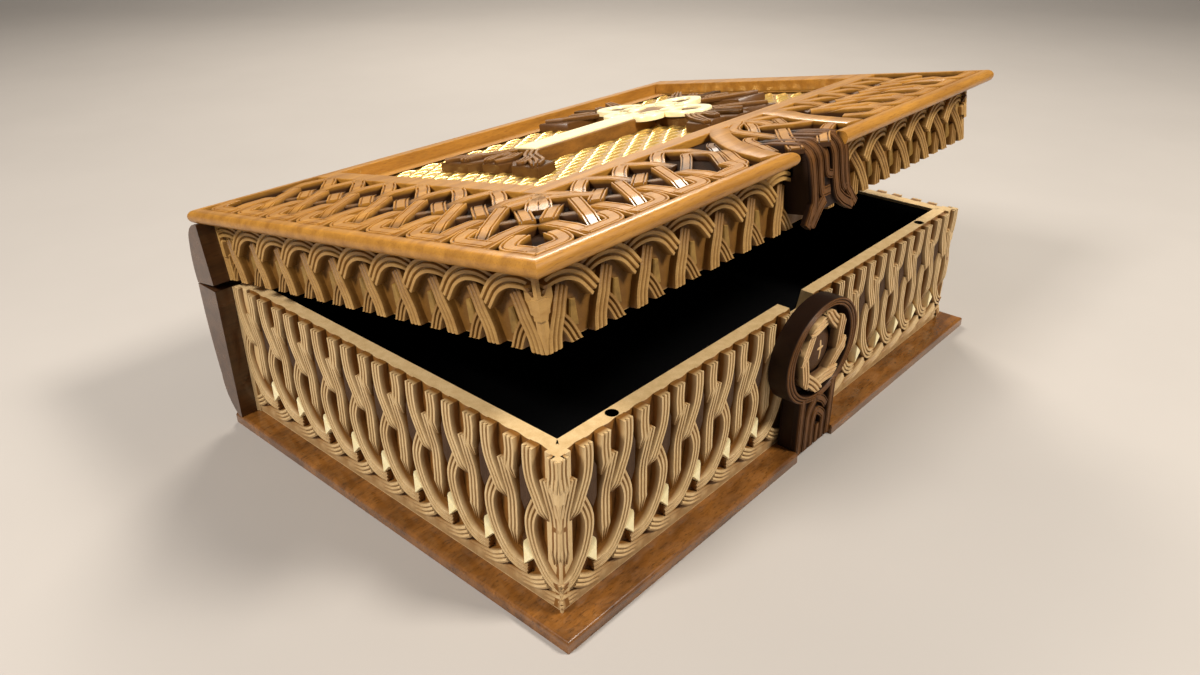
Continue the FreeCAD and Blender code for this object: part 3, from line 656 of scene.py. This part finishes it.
# Straps of one repeat: guide, width, lift, steps; broad and knot straps: guide, width, lift
topCover = {
    "margin": 5.1, "round": 2.9, "roundSteps": 15, "deck": 3.2, "reach": 2.6, "notch": (-24, 12),
    "notchSlope": 1.3, "lipDrop": 0.12, "groove": [(4.7, 0), (4.5, 0), (4.35, 0.55), (4.2, 0)],
    "grooveRow": 4, "grooveShade": 0.7, "rimShade": 0.8, "under": 20, "overlap": 0.4, "sheetSteps": 12,
    "pitch": 23, "firstUnit": 23.4, "frontUnits": (4, 4), "headUnits": (4, 4, -1), "tailUnits": (8, 7),
    "border": 10, "panelTail": -91, "panelHead": 147.5, "panelFront": -38.8, "panelBack": 97.2, "wallFoot": 8,
    "straps": {
        "edge": ([(0.8, 3.7), (8, 3.7), (14.6, 3.8), (18.4, 8.4), (20.8, 14.5)], 6.2, level, 24),
        "link": ([(11, 8.5), (18, 18.5), (25.5, 28.5), (32, 37.5)], 5,
                 [(0, -1.6), (0.25, 0.2), (1, 0.2)], 20),
        "riser": ([(1.8, 0.8), (2.7, 8), (4, 16), (5.2, 24), (5.6, 31)], 6.4,
                  [(0, -0.7), (0.35, 0.3), (0.7, 0), (1, -1.9)], 20),
        "under": ([(31, 9.5), (25, 19), (18, 29), (12.5, 38)], 4.4,
                  [(0, -1.7), (0.25, -0.5), (0.5, -1.1), (1, -1.7)], 20),
        "cross": ([(8.8, 27.5), (15.5, 32.5), (22, 37.5), (28, 42.5)], 5.6,
                  [(0, 0.2), (0.5, 0.1), (1, -1.6)], 18),
        "rise": ([(17, 43.5), (25, 50.5), (33.6, 56.6)], 5.8, [(0, -1), (0.3, 0), (1, 0)], 16),
        "fall": ([(34, 57), (37, 47), (39.8, 35.5)], 5.8, [(0, 0), (0.6, 0), (1, -1.4)], 16)},
    "broad": [([(-33.5, 1.5), (-25.5, 17), (-17, 29), (-10, 37), (1.5, 49), (12, 57)], 9, 0.2),
              ([(30.5, 1.5), (34.5, 15), (40.5, 32), (48, 47), (52, 57)], 9.5, 0.2)],
    "broadSteps": 30, "knotSteps": 32, "knotDip": 0.8,
    "knot": [([(-64, 6.5), (-46, 6.5), (-38, 15), (-22, 31)], 5.2, -0.1),
             ([(-49, 11), (-38, 22), (-29, 32), (-31.5, 42), (-40, 36), (-55, 25)], 4.6, -0.5),
             ([(34, 62), (26, 57), (14, 51), (7, 42), (2, 20)], 6, 0),
             ([(-22, 8), (-13, 22), (-6, 30), (3, 32.5)], 4.8, -0.3),
             ([(-17, 1), (-4, 13), (8, 22), (18, 29)], 6.2, 0.15),
             ([(-3, -3), (8, 3.5), (20, 8.5), (33, 13)], 5.4, 0),
             ([(11, 38), (20, 45), (30, 52.5), (33.5, 43)], 5, -0.2),
             ([(20, 44), (23, 34), (28, 26.5), (36, 23)], 5.2, 0.1),
             ([(-20, 36), (-14, 43), (-6, 47.5)], 4.4, -1.2),
             ([(24, 30), (32, 38), (44, 49)], 4.6, -0.6)],
    "corner": [(-118, -50.5), (-107.5, -53.5), (-99, -62), (-95.5, -72)],
    "cornerWidth": 6, "cornerSteps": 20,
}


# Rounded edge: the section, as inset and drop below the top, is carried round the cover with mitred
# corners, open at the clasp
def coverEdge():
    s = topCover
    turn = np.radians(np.linspace(90, -90, s["roundSteps"]))
    section = np.concatenate([
        [(s["margin"], s["deck"]), (s["margin"], s["lipDrop"])] + s["groove"],
        np.stack([s["round"] - s["round"] * np.cos(turn), s["round"] - s["round"] * np.sin(turn)], 1),
        [(s["under"], 2 * s["round"])]])
    inset, drop = section.T
    x1 = box["coverHalf"] - inset
    y0, y1 = box["coverFront"] + inset, box["coverBack"] - inset
    left, right = s["notch"][0] - s["notchSlope"] * inset, np.full_like(inset, s["notch"][1])
    corners = [(right, y0), (x1, y0), (x1, y1), (-x1, y1), (-x1, y0), (left, y0)]
    points = np.stack([np.stack([x, y, box["topZ"] - drop], 1) for x, y in corners])
    shade = np.zeros(points.shape[:2])
    shade[:, s["grooveRow"]] = s["grooveShade"]
    shade[:, 0] = s["rimShade"]
    return turnFaces(gridPart(points, shade, caps=True))


def flatSheet(x0, x1, y0, y1, z, depth):
    steps = topCover["sheetSteps"]
    x, y = np.meshgrid(np.linspace(x0, x1, steps), np.linspace(y0, y1, steps), indexing="ij")
    return gridPart(np.stack([x, y, np.full_like(x, z)], -1), np.full(x.shape, depth))


def coverStrap(guide, section, width, lift, steps):
    return sweepRibbon(guide, section, width, lift, evenWidth, steps, topCover["deck"], topCover["reach"])


def bandRibbons(units, chevrons, first=0):
    s = topCover
    spans = {"edge": (-1, units), "link": (first, units - 1), "riser": (0, units), "under": (0, units - 1),
             "cross": (first, units - 1), "rise": (first, chevrons), "fall": (2 * first, chevrons)}
    rows = []
    for name, span in spans.items():
        guide, *rest = s["straps"][name]
        rows.append(rowOf(coverStrap(guide, edgeLines, *rest), s["pitch"], *span, s["firstUnit"]))
    return joinParts(rows)


# Where the deck ends on three sides, and where the border of the panel begins
def deckLines():
    s = topCover
    return (box["coverHalf"] - s["margin"], box["coverFront"] + s["margin"], box["coverBack"] - s["margin"],
            s["panelTail"] - s["border"], s["panelFront"] - s["border"])


def coverDeck():
    s = topCover
    top, foot = box["topZ"], box["topZ"] - s["wallFoot"]
    outX, outY, backY, borderX, borderY = deckLines()
    railX, railY = outX + s["overlap"], backY + s["overlap"]
    rails = [slab(borderX, railX, borderY, s["panelFront"], foot, top),
             slab(borderX, s["panelTail"], s["panelFront"], s["panelBack"], foot, top),
             slab(s["panelHead"], railX, s["panelFront"], s["panelBack"], foot, top),
             slab(borderX, railX, s["panelBack"], railY, foot, top)]
    origin = (-outX, outY, top)
    front = shiftPart(bandRibbons(*s["frontUnits"]), *origin)
    headEnd = mirrorX(shiftPart(bandRibbons(*s["headUnits"]), *origin))
    tail = placePart(bandRibbons(*s["tailUnits"]), origin, runY, runX, runZ)
    tail["points"][:, 1] = np.minimum(tail["points"][:, 1], backY)
    middle = [coverStrap(guide, bandSection, width, [(0, lift), (1, lift)], s["broadSteps"])
              for guide, width, lift in s["broad"]]
    for guide, width, lift in s["knot"]:
        bow = [(0, lift - s["knotDip"]), (0.2, lift), (0.8, lift), (1, lift - s["knotDip"])]
        middle.append(coverStrap(guide, edgeLines, width, bow, s["knotSteps"]))
    middle = shiftPart(joinParts(middle), 0, outY, top)
    bend = coverStrap(s["corner"], edgeLines, s["cornerWidth"], level, s["cornerSteps"])
    return joinParts(rails + [front, headEnd, tail, middle, shiftPart(bend, 0, 0, top)])


def coverGround():
    low = box["topZ"] - topCover["deck"]
    outX, outY, backY, borderX, borderY = deckLines()
    return joinParts([flatSheet(-outX, outX, outY, borderY, low, 1),
                      flatSheet(-outX, borderX, borderY, backY, low, 1)])


carvedCover = joinParts([coverEdge(), coverDeck()])
makePiece("carved_top_cover", carvedCover, "lid", honeyWalnut, ["top_cover"])
makePiece("cover_ground", coverGround(), "lid", groundWalnut, ())
print("top cover carved")


gildedGround = {
    "lowZ": 7.6, "topZ": 6.9, "gap": 0.2, "bevel": 0.1, "barLength": 12, "barWidth": 2.4, "barHeight": 0.9,
    "barGrid": (7, 5), "sink": 0.05, "stepX": 14.4, "stepY": 4.8, "marginX": (7, 11), "marginY": (4, 3),
}


# Gilded ground: a thin slab with staggered rows of low bars, height = barHeight * (1-a^4)(1-b^2)
def groundPanel():
    s, c = gildedGround, topCover
    top, gap = box["topZ"], s["gap"]
    base = slab(c["panelTail"] + gap, c["panelHead"] - gap, c["panelFront"] + gap, c["panelBack"] - gap,
                top - s["lowZ"], top - s["topZ"], s["bevel"])
    a, b = np.meshgrid(*[np.linspace(-1, 1, count) for count in s["barGrid"]], indexing="ij")
    crown = s["barHeight"] * (1 - a ** 4) * (1 - b ** 2) + top - s["topZ"] - s["sink"]
    bar = gridPart(np.stack([a * s["barLength"] / 2, b * s["barWidth"] / 2, crown], -1))
    (startX, endX), (startY, endY) = s["marginX"], s["marginY"]
    x, y = np.meshgrid(np.arange(c["panelTail"] + startX, c["panelHead"] - endX, s["stepX"]),
                       np.arange(c["panelFront"] + startY, c["panelBack"] - endY, s["stepY"]))
    x = x + (np.arange(len(x)) % 2)[:, None] * s["stepX"] / 2
    return base, repeatPart(bar, np.stack([x.ravel(), y.ravel(), np.zeros(x.size)], 1))


goldBase, goldBars = groundPanel()
makePiece("gilded_panel", goldBase, "lid", shadedGold, ["gilded_ground"])
makePiece("gilded_bars", goldBars, "lid", goldLeaf, ())


# Outlines and straps are shares of a limb's reach; loops: along, across, half length, half width
coverCross = {
    "axisY": 29.2, "ground": 6.7, "carved": 2.2, "top": 0.2, "goldTop": -0.6, "foot": -58, "centre": 60.8,
    "head": 122, "reach": 58, "width": 18, "goldWidth": 14, "bevel": 0.5, "shade": 0.5, "shaftShare": 0.42,
    "arm": [(0, 0.16), (0.56, 0.17), (0.70, 0.42), (1, 0.50), (0.88, 0.26), (0.90, 0.14), (1, 0.10)],
    "leaf": [(0.42, 0.155), (0.30, 0.24), (0.22, 0.53), (0, 0.57), (0.02, 0.26), (0.12, 0.16), (0.04, 0.10)],
    "armStraps": [([(0.10, 0.10), (0.48, 0.11), (0.70, 0.28), (0.95, 0.45)], 0.11),
                  ([(0.36, 0), (0.6, 0), (0.97, 0)], 0.13),
                  ([(0.60, 0.16), (0.72, 0.12), (0.86, 0.19)], 0.10)],
    "leafStraps": [([(0.42, 0.09), (0.27, 0.22), (0.14, 0.42), (0.02, 0.53)], 0.13),
                   ([(0.30, 0.05), (0.16, 0.09), (0.05, 0.05)], 0.10),
                   ([(0.20, 0.28), (0.09, 0.33), (0.04, 0.30)], 0.09)],
    "strap": {"lift": [(0, 0), (1, -0.3)], "taper": [(0, 0.8), (0.7, 1), (1, 0.55)],
              "steps": 18, "reach": 2.6},
    "strapSink": 0.3, "plankGap": 14, "plankBevel": 0.4, "seat": 0.1,
    "loops": [(0, 0, 15, 15), (22, 0, 12, 9), (0, 22, 9, 12), (0, -22, 9, 12),
              (-15, 10, 7, 5), (-15, -10, 7, 5)],
    "loopGuides": 17, "loop": {"width": 5.5, "steps": 40, "floor": 2.4, "reach": 6},
}


# Limb: an outline alike on both sides of its axis as a low block, with raised straps along it
def crossLimb(start, outward, reach, shares, straps):
    s = coverCross
    across = np.array([-outward[1], outward[0]])

    def place(pairs, side):
        pairs = np.array(pairs)
        return start + pairs[:, :1] * reach * outward + side * pairs[:, 1:] * reach * across
    outline = np.vstack([place(shares, -1), place(shares, 1)[::-1]])
    nextX, nextY = np.roll(outline, -1, 0).T
    turn = np.sum(outline[:, 0] * nextY - outline[:, 1] * nextX)
    top = box["topZ"]
    parts = [outlineBlock(outline if turn > 0 else outline[::-1], top - s["ground"], top - s["carved"],
                          s["bevel"], s["shade"])]
    floor = s["carved"] - s["top"] + s["strapSink"]
    for guide, width in straps:
        for side in (-1, 1):
            strap = sweepRibbon(place(guide, side), twoRidges, width * reach, floor=floor, **s["strap"])
            parts.append(shiftPart(strap, 0, 0, top - s["top"]))
    return joinParts(parts)


def crossWood():
    s = coverCross
    top, y, half = box["topZ"], s["axisY"], s["width"] / 2
    centre, east, north = np.array([s["centre"], y]), np.array([1, 0]), np.array([0, 1])
    arm = (s["arm"], s["armStraps"])
    return joinParts([
        slab(s["foot"] + s["reach"] * s["shaftShare"], s["centre"] + half, y - half, y + half,
             top - s["ground"], top - s["top"], s["bevel"]),
        crossLimb(centre, east, s["head"] - s["centre"], *arm),
        crossLimb(centre, north, s["reach"], *arm),
        crossLimb(centre, -north, s["reach"], *arm),
        crossLimb(np.array([s["foot"], y]), east, s["reach"], s["leaf"], s["leafStraps"])])


# Gilding: a plank on the shaft and looped straps about the crossing
def crossGold():
    s = coverCross
    top, y, half = box["topZ"], s["axisY"], s["goldWidth"] / 2
    low, high = top - s["top"] - s["seat"], top - s["goldTop"]
    parts = [slab(s["foot"] + s["reach"] * s["shaftShare"], s["centre"] - s["plankGap"], y - half, y + half,
                  low, high, s["plankBevel"])]
    turn = np.linspace(0, 2 * np.pi, s["loopGuides"])
    for out, side, wide, tall in s["loops"]:
        loop = np.stack([s["centre"] + out + wide * np.cos(turn), y + side + tall * np.sin(turn)], 1)
        strap = sweepRibbon(loop, bandSection, **s["loop"])
        parts.append(shiftPart(strap, 0, 0, high + s["seat"]))
    return joinParts(parts)


makePiece("cover_cross_wood", crossWood(), "lid", crossWalnut, ["cover_cross"])
makePiece("cover_cross_gold", crossGold(), "lid", paleGold, ["cross_gilding"])
print("panel and cross set")


# Heights count outward from the clasp's front face; strips: guide, width
clasp = {
    "centreZ": 50, "frontY": -109.8, "wide": 29.5, "tall": 23.5, "innerWide": 23.5,
    "innerTall": 20.5, "recess": 6, "steps": 112, "ridges": 3, "ridgeSteps": 22, "ridgeDrop": 0.75,
    "ridgeRound": 0.6, "innerLip": (-0.02, -0.9), "outerLip": -1, "reach": 1.6,
    "stem": 15, "stemLow": 1.6, "stemTop": 30, "stemFloor": 2.6, "stemBevel": 0.3, "stemShade": 0.9,
    "strips": [([(-12.7, 31), (-12.7, 16), (-12.7, 1.8)], 4.4), ([(12.7, 31), (12.7, 16), (12.7, 1.8)], 4.4),
               ([(-7, 1.8), (-7, 12), (-6.6, 21), (-1.5, 27.5)], 4.2),
               ([(7, 1.8), (7, 9), (6.6, 15), (0.5, 19.5), (-2.2, 15), (-2, 1.8)], 3.8),
               ([(-1.5, 27.5), (4.5, 24), (8.5, 19.5)], 3.8), ([(2.6, 1.8), (2.6, 6), (2.6, 11.5)], 3)],
    "strip": {"steps": 22, "floor": 3, "reach": 1.6},
}


# A part drawn across, up and outward, put on the clasp's front
def onClasp(part, outY, upZ):
    return placePart(part, (0, clasp["frontY"] + outY, upZ), runX, runZ, -runY)


# Drum and ring: a section, as share from the inner to the outer oval and height, carried round the oval
def claspDrum():
    s = clasp
    count, wallHigh = s["steps"], s["frontY"] - box["frontY"]
    wave = np.linspace(0, 1, s["ridgeSteps"])
    crest = -s["ridgeDrop"] * (1 - np.abs(np.sin(wave * s["ridges"] * np.pi)) ** s["ridgeRound"])
    share = np.concatenate([[s["innerLip"][0], 0], wave, [1, 1]])
    high = np.concatenate([[-s["recess"], s["innerLip"][1]], crest, [s["outerLip"], wallHigh]])
    high = np.broadcast_to(high, (count, len(high)))
    turn = np.linspace(0, 2 * np.pi, count, endpoint=False)
    cosine, sine = np.cos(turn), np.sin(turn)
    wide = s["innerWide"] + (s["wide"] - s["innerWide"]) * share
    tall = s["innerTall"] + (s["tall"] - s["innerTall"]) * share
    points = np.stack([wide * cosine[:, None], s["centreZ"] + tall * sine[:, None], high], -1)
    drum = turnFaces(gridPart(points, np.clip(-high / s["reach"], 0, 1), closeRows=True))
    ring = np.stack([s["innerWide"] * cosine, s["centreZ"] + s["innerTall"] * sine,
                     np.full(count, -s["recess"])], 1)
    # The recess floor takes full depth and so the darkest tone: painted shade at the bottom of the recess
    floor = newPart(ring, np.arange(count), [count], np.ones(count))
    leg = slab(-s["stem"], s["stem"], s["stemLow"], s["stemTop"], wallHigh, -s["stemFloor"], s["stemBevel"],
               s["stemShade"])
    ribbons = [sweepRibbon(guide, edgeLines, width, **s["strip"]) for guide, width in s["strips"]]
    return onClasp(joinParts([drum, floor, leg] + ribbons), 0, 0)


knotSet = {
    "strap": {"guide": [(-10.2, 1.2), (-4, 0.4), (4, -0.4), (10.2, -2)], "section": twoRidges, "width": 5.2,
              "lift": [(0, -2.2), (0.3, -0.9), (0.75, 0.2), (1, 0.1)], "steps": 16, "floor": 5, "reach": 3.2},
    "count": 8, "radius": 14.6, "start": 0.2, "limit": 18.9, "tiny": 0.1, "sunk": 0.3,
}


# Woven knot: straps set round the eye, each leaning over the next, held within the ring
def claspKnot():
    s = knotSet
    strap = sweepRibbon(**s["strap"])
    parts = []
    for k in range(s["count"]):
        angle = 2 * np.pi * k / s["count"] + s["start"]
        across = np.array([-np.sin(angle), np.cos(angle), 0])
        out = np.array([np.cos(angle), np.sin(angle), 0])
        parts.append(placePart(strap, out * s["radius"], across, -out, runZ))
    knot = joinParts(parts)
    away = np.maximum(np.linalg.norm(knot["points"][:, :2], axis=1), s["tiny"])
    knot["points"][:, :2] *= np.minimum(1, s["limit"] / away)[:, None]
    return onClasp(knot, -s["sunk"], clasp["centreZ"])


bossSet = {
    "eye": 11, "rings": 12, "steps": 40, "centre": 0.02,
    "foot": -5.6, "rise": 3.6, "flat": 0.96, "shade": 0.25,
    "bars": [[(0, -6), (0, -3), (0, 3), (0, 6)], [(-5.2, 1), (-2, 1), (2, 1), (5.2, 1)]],
    "bar": {"width": 2.2, "lift": [(0, -0.9), (0.5, 0), (1, -0.9)], "taper": [(0, 1.4), (0.5, 0.8), (1, 1.4)],
            "steps": 14, "floor": 3}, "barBack": 1.7,
}


# Boss: a dome, height = foot + rise * sqrt(1 - (flat * share of the radius)^2)
def claspBoss():
    s = bossSet
    ring, turn = np.meshgrid(np.linspace(s["centre"], 1, s["rings"]),
                             np.linspace(0, 2 * np.pi, s["steps"], endpoint=False), indexing="ij")
    dome = s["foot"] + s["rise"] * np.sqrt(np.clip(1 - (ring * s["flat"]) ** 2, 0, 1))
    points = np.stack([s["eye"] * ring * np.cos(turn), s["eye"] * ring * np.sin(turn), dome], -1)
    boss = gridPart(points, np.full(ring.shape, s["shade"]), closeCols=True, caps=True)
    return onClasp(boss, 0, clasp["centreZ"])


def claspPlus():
    s = bossSet
    bars = joinParts([sweepRibbon(guide, plainRibbon, **s["bar"]) for guide in s["bars"]])
    return onClasp(bars, s["barBack"], clasp["centreZ"])


makePiece("clasp_drum", claspDrum(), "case", darkWalnut, ["clasp_bracket"])
makePiece("clasp_knot", claspKnot(), "case", paleKnot, ["clasp_rosette"])
makePiece("clasp_boss", claspBoss(), "case", darkWalnut, ["rosette_boss"])
makePiece("clasp_plus", claspPlus(), "case", paleKnot, ())


# Straps: guide, as across and along the tongue, and width
tongue = {
    "start": -80, "roll": 8, "lowZ": 71, "floor": 1.6, "inside": 13, "proud": 0.2,
    "coreGuide": [0.5, 20, 40], "coreShort": 5,
    "core": {"width": 29.6, "steps": 40, "floor": 14, "reach": 1.5},
    "strap": {"lift": [(0, -1.2), (0.12, 0), (1, 0)], "steps": 44, "floor": 2.6, "reach": 1.6},
    "straps": [([(-12.6, 0), (-12.6, 24), (-12.4, 47), (-15, 52.5), (-19.2, 57.8)], 4.2),
               ([(-7.2, 0), (-7.2, 24), (-7.2, 44.5), (-5.5, 46.8), (-1, 47)], 3.8),
               ([(-2.4, 4), (-2.4, 24), (-2.4, 38.5), (0, 41), (1.5, 41.2)], 3.4),
               ([(4.6, 0), (4.6, 24), (4.4, 46), (8, 52.5), (16.8, 57.8)], 4.8),
               ([(9.6, 4), (9.6, 24), (9.6, 45), (11.5, 50)], 3.4),
               ([(13, 0), (13, 24), (13, 47), (15.5, 52.5), (19.2, 57.6)], 3.8),
               ([(-4, 49), (-9, 52), (-16.5, 58.2)], 4.6)],
}
tongueFlat = abs(clasp["frontY"] + tongue["roll"] - tongue["start"])
tongueArc = tongue["roll"] * np.pi / 2
tongueTop = box["topZ"] + tongue["proud"]


# Strap surface: flat on the cover, a quarter turn over its edge, then straight down; height goes along
# the normal
def onTongue(part):
    s = tongue
    x, along, high = part["points"].T
    turn = np.clip((along - tongueFlat) / s["roll"], 0, np.pi / 2)
    y = s["start"] - np.minimum(along, tongueFlat) - s["roll"] * np.sin(turn)
    z = tongueTop - s["roll"] * (1 - np.cos(turn)) - np.maximum(along - tongueFlat - tongueArc, 0)
    return dict(part, points=np.stack([x, y - high * np.sin(turn), z + high * np.cos(turn)], 1))


def claspTongue():
    s = tongue
    endAlong = tongueFlat + tongueArc + box["topZ"] + s["proud"] - s["roll"] - s["lowZ"]
    section = np.array([(-0.5, -s["inside"]), (-0.5, -s["floor"]), (0, -s["floor"]), (0.5, -s["floor"]),
                        (0.5, -s["inside"])])
    guide = [(0, along) for along in s["coreGuide"] + [endAlong - s["coreShort"]]]
    parts = [sweepRibbon(guide, section, **s["core"])]
    parts += [sweepRibbon(guide, edgeLines, width, **s["strap"]) for guide, width in s["straps"]]
    strap = joinParts([turnFaces(part) for part in parts])
    strap["points"][:, 1] = np.minimum(strap["points"][:, 1], endAlong)
    return onTongue(strap)


makePiece("clasp_tongue_carved", claspTongue(), "lid", darkWalnut, ["clasp_tongue"])
print("clasp carved")


# Side boards stand between low and high; tuck is how far a pad runs into the boards beside it
pads = {
    "outX": 144.9, "inX": 143.4, "outY": 90.3, "inY": 88.8,
    "tuck": 1.6, "grid": (81, 25), "power": 10, "round": 0.3,
    "case": {"flat": ("floor", 5, 7), "low": 7, "high": 68.5, "under": 1.9, "over": 0},
    "lid": {"flat": ("ceiling", 93, 94.5), "low": 71.9, "high": 93, "under": 0, "over": 1.4},
}
# The axis each pad faces along, and which way
padSides = {"floor": (2, 1), "ceiling": (2, -1), "front": (1, 1), "back": (1, -1),
            "tail": (0, 1), "head": (0, -1)}


# Velvet pads: a slab with rounded rims, height = thickness * ((1-a^10)(1-b^10))^0.3 on the face, flat behind
def velvetPad(name, body, side, corners):
    s = pads
    axis, facing = padSides[side]
    upright = axis != 2
    low, high = np.array(corners)
    tuck = np.array([s["tuck"], s["tuck"], 0 if upright else s["tuck"]])
    tuck[axis] = 0
    low, high = low - tuck, high + tuck
    if upright:
        low[2] -= s[body]["under"]
        high[2] += s[body]["over"]
    middle, half = (low + high) / 2, (high - low) / 2
    first, second = [k for k in range(3) if k != axis]
    a, b = np.meshgrid(*[np.linspace(-1, 1, count) for count in s["grid"]], indexing="ij")
    crown = (np.clip(1 - a ** s["power"], 0, 1) * np.clip(1 - b ** s["power"], 0, 1)) ** s["round"]
    face, back = [gridPart(np.stack([a * half[first], b * half[second], share * half[axis]], -1))
                  for share in (2 * crown - 1, -np.ones(a.shape))]
    axes, part = (runX, runY, runZ), joinParts([face, turnFaces(back)])
    part = placePart(part, middle, axes[first], axes[second], facing * axes[axis])
    if name == "front":
        across, _, height = part["points"].T
        part["points"][:, 2] = notchHeights(across, height - box["footZ"]) + box["footZ"]
    pad = makePiece(name + "_velvet", part, body, blackVelvet, [name + "_lining"])


def layVelvet(body, prefix):
    x1, x2, y1, y2 = pads["outX"], pads["inX"], pads["outY"], pads["inY"]
    flat, flatLow, flatHigh = pads[body]["flat"]
    low, high = pads[body]["low"], pads[body]["high"]
    corners = {
        flat: ((-x1, -y1, flatLow), (x1, y1, flatHigh)),
        "front": ((-x1, -y1, low), (x1, -y2, high)), "back": ((-x1, y2, low), (x1, y1, high)),
        "tail": ((-x1, -y2, low), (-x2, y2, high)), "head": ((x2, -y2, low), (x1, y2, high)),
    }
    for side in corners:
        velvetPad(prefix + side, body, side, corners[side])


layVelvet("case", "")
layVelvet("lid", "lid_")
print("velvet laid")


# CAD pieces that stay, by finish
keptPieces = [
    (plateWalnut, ["bottom_cover"]), (spineWalnut, ["lower_spine", "upper_spine"]),
    (paleCarving, ["back_wall"]), (lidCarving, ["lid_back_wall"]),
    (magnetBlack, ["case_magnets", "lid_magnets"]),
    (hingeBrass, ["case_hinge_screws", "lid_hinge_screws", "tail_hinge_pin", "head_hinge_pin",
                  "tail_hinge_lower_leaf", "head_hinge_lower_leaf",
                  "tail_hinge_upper_leaf", "head_hinge_upper_leaf"]),
]
for finish, nodes in keptPieces:
    for node in nodes:
        cad[node].data.materials.clear()
        cad[node].data.materials.append(finish)
print("kept pieces finished")


# In metres, as Blender takes them; lights: place, aim, size, power, colour
studio = {
    "camera": (-0.326362, -0.271015, 0.244736), "azimuth": 48.3055, "elevation": 28.1488, "roll": -0.0924,
    "lens": 27.914, "sensor": 36, "clipStart": 0.01,
    "floorColour": (0.40, 0.372, 0.35), "floorDarker": 0.97, "floorScale": 6, "floorStops": (0.35, 0.65),
    "floorRoughness": 0.9, "floorSpecular": 0.1, "worldColour": (1, 0.965, 0.92), "worldStrength": 0.16,
    "sweepSteps": 60, "flatShare": 0.55, "bendShare": 0.2, "flatRun": 5, "bendRadius": 0.6, "wallRise": 8,
    "nearRun": 5, "setBack": 1.6, "halfWidth": 9, "widthSteps": 9,
    "lights": {"key": ((0.35, -0.85, 1.1), (0, 0, 0.05), 0.3, 22, (1, 0.94, 0.84)),
               "side": ((-1, 0.15, 0.95), (0, 0, 0.05), 0.3, 18, (1, 0.95, 0.88)),
               "back": ((0.7, 0.75, 0.85), (0, 0, 0.1), 0.4, 12, (1, 0.93, 0.82))},
}


# Links an object that looks along the opposite of its third axis
def aimObject(thing, place, right, up, back):
    turn = Matrix(np.column_stack([right, up, back]).tolist()).to_4x4()
    thing.matrix_world = Matrix.Translation(place) @ turn
    bpy.context.scene.collection.objects.link(thing)


def addCamera():
    s = studio
    azimuth, elevation, roll = [radians(s[angle]) for angle in ("azimuth", "elevation", "roll")]
    forward = np.array([np.sin(azimuth) * np.cos(elevation), np.cos(azimuth) * np.cos(elevation),
                        -np.sin(elevation)])
    right = np.array([np.cos(azimuth), -np.sin(azimuth), 0])
    up = np.cross(right, forward)
    across, above = np.cos(roll) * right + np.sin(roll) * up, np.cos(roll) * up - np.sin(roll) * right
    camera = bpy.data.objects.new("camera", bpy.data.cameras.new("camera"))
    camera.data.lens, camera.data.sensor_width = s["lens"], s["sensor"]
    camera.data.clip_start = s["clipStart"]
    aimObject(camera, s["camera"], across, above, -forward)
    bpy.context.scene.camera = camera


def addArea(name, place, aim, size, power, colour):
    lamp = bpy.data.lights.new(name, "AREA")
    lamp.size, lamp.energy, lamp.color = size, power, colour
    away = np.array(place, float) - np.array(aim, float)
    away /= np.linalg.norm(away)
    right = np.cross(runZ, away)
    right /= np.linalg.norm(right)
    aimObject(bpy.data.objects.new(name, lamp), place, right, np.cross(away, right), away)


# Sweep: a flat floor that curves up into a wall behind the box; its near end runs out behind every camera
def addSweep():
    s = studio
    material, tree, shader = newMaterial("pale_floor")
    shade = grainNoise(tree, (1, 1, 1), s["floorScale"], 3)
    darker = tuple(s["floorDarker"] * v for v in s["floorColour"])
    tone = colourRamp(tree, shade, s["floorStops"], (s["floorColour"], darker))
    tree.links.new(tone, shader.inputs["Base Color"])
    setInputs(shader, {"Roughness": s["floorRoughness"], "Specular IOR Level": s["floorSpecular"]})
    reach = np.linspace(0, 1, s["sweepSteps"])
    bend = np.clip((reach - s["flatShare"]) / s["bendShare"], 0, 1) * np.pi / 2
    along = np.minimum(reach, s["flatShare"]) * s["flatRun"] + s["bendRadius"] * np.sin(bend)
    along[0] -= s["nearRun"]
    wall = np.maximum(reach - s["flatShare"] - s["bendShare"], 0)
    rise = s["bendRadius"] * (1 - np.cos(bend)) + wall * s["wallRise"]
    side = np.linspace(-s["halfWidth"], s["halfWidth"], s["widthSteps"])
    azimuth = radians(s["azimuth"])
    ahead = np.array([np.sin(azimuth), np.cos(azimuth), 0])
    right = np.array([np.cos(azimuth), -np.sin(azimuth), 0])
    along = along - s["setBack"]
    points = along[:, None, None] * ahead + side[None, :, None] * right + rise[:, None, None] * runZ
    sweep = newObject("pale_sweep", turnFaces(gridPart(points / toMetres)), material)


def addWorld():
    world = bpy.data.worlds.new("studio")
    bpy.context.scene.world = world
    world.use_nodes = True
    setInputs(world.node_tree.nodes["Background"],
              {"Color": (*studio["worldColour"], 1), "Strength": studio["worldStrength"]})


addCamera()
addSweep()
addWorld()
for lightName, settings in studio["lights"].items():
    addArea(lightName, *settings)
bpy.context.scene.view_settings.view_transform = "Standard"
print("studio set")
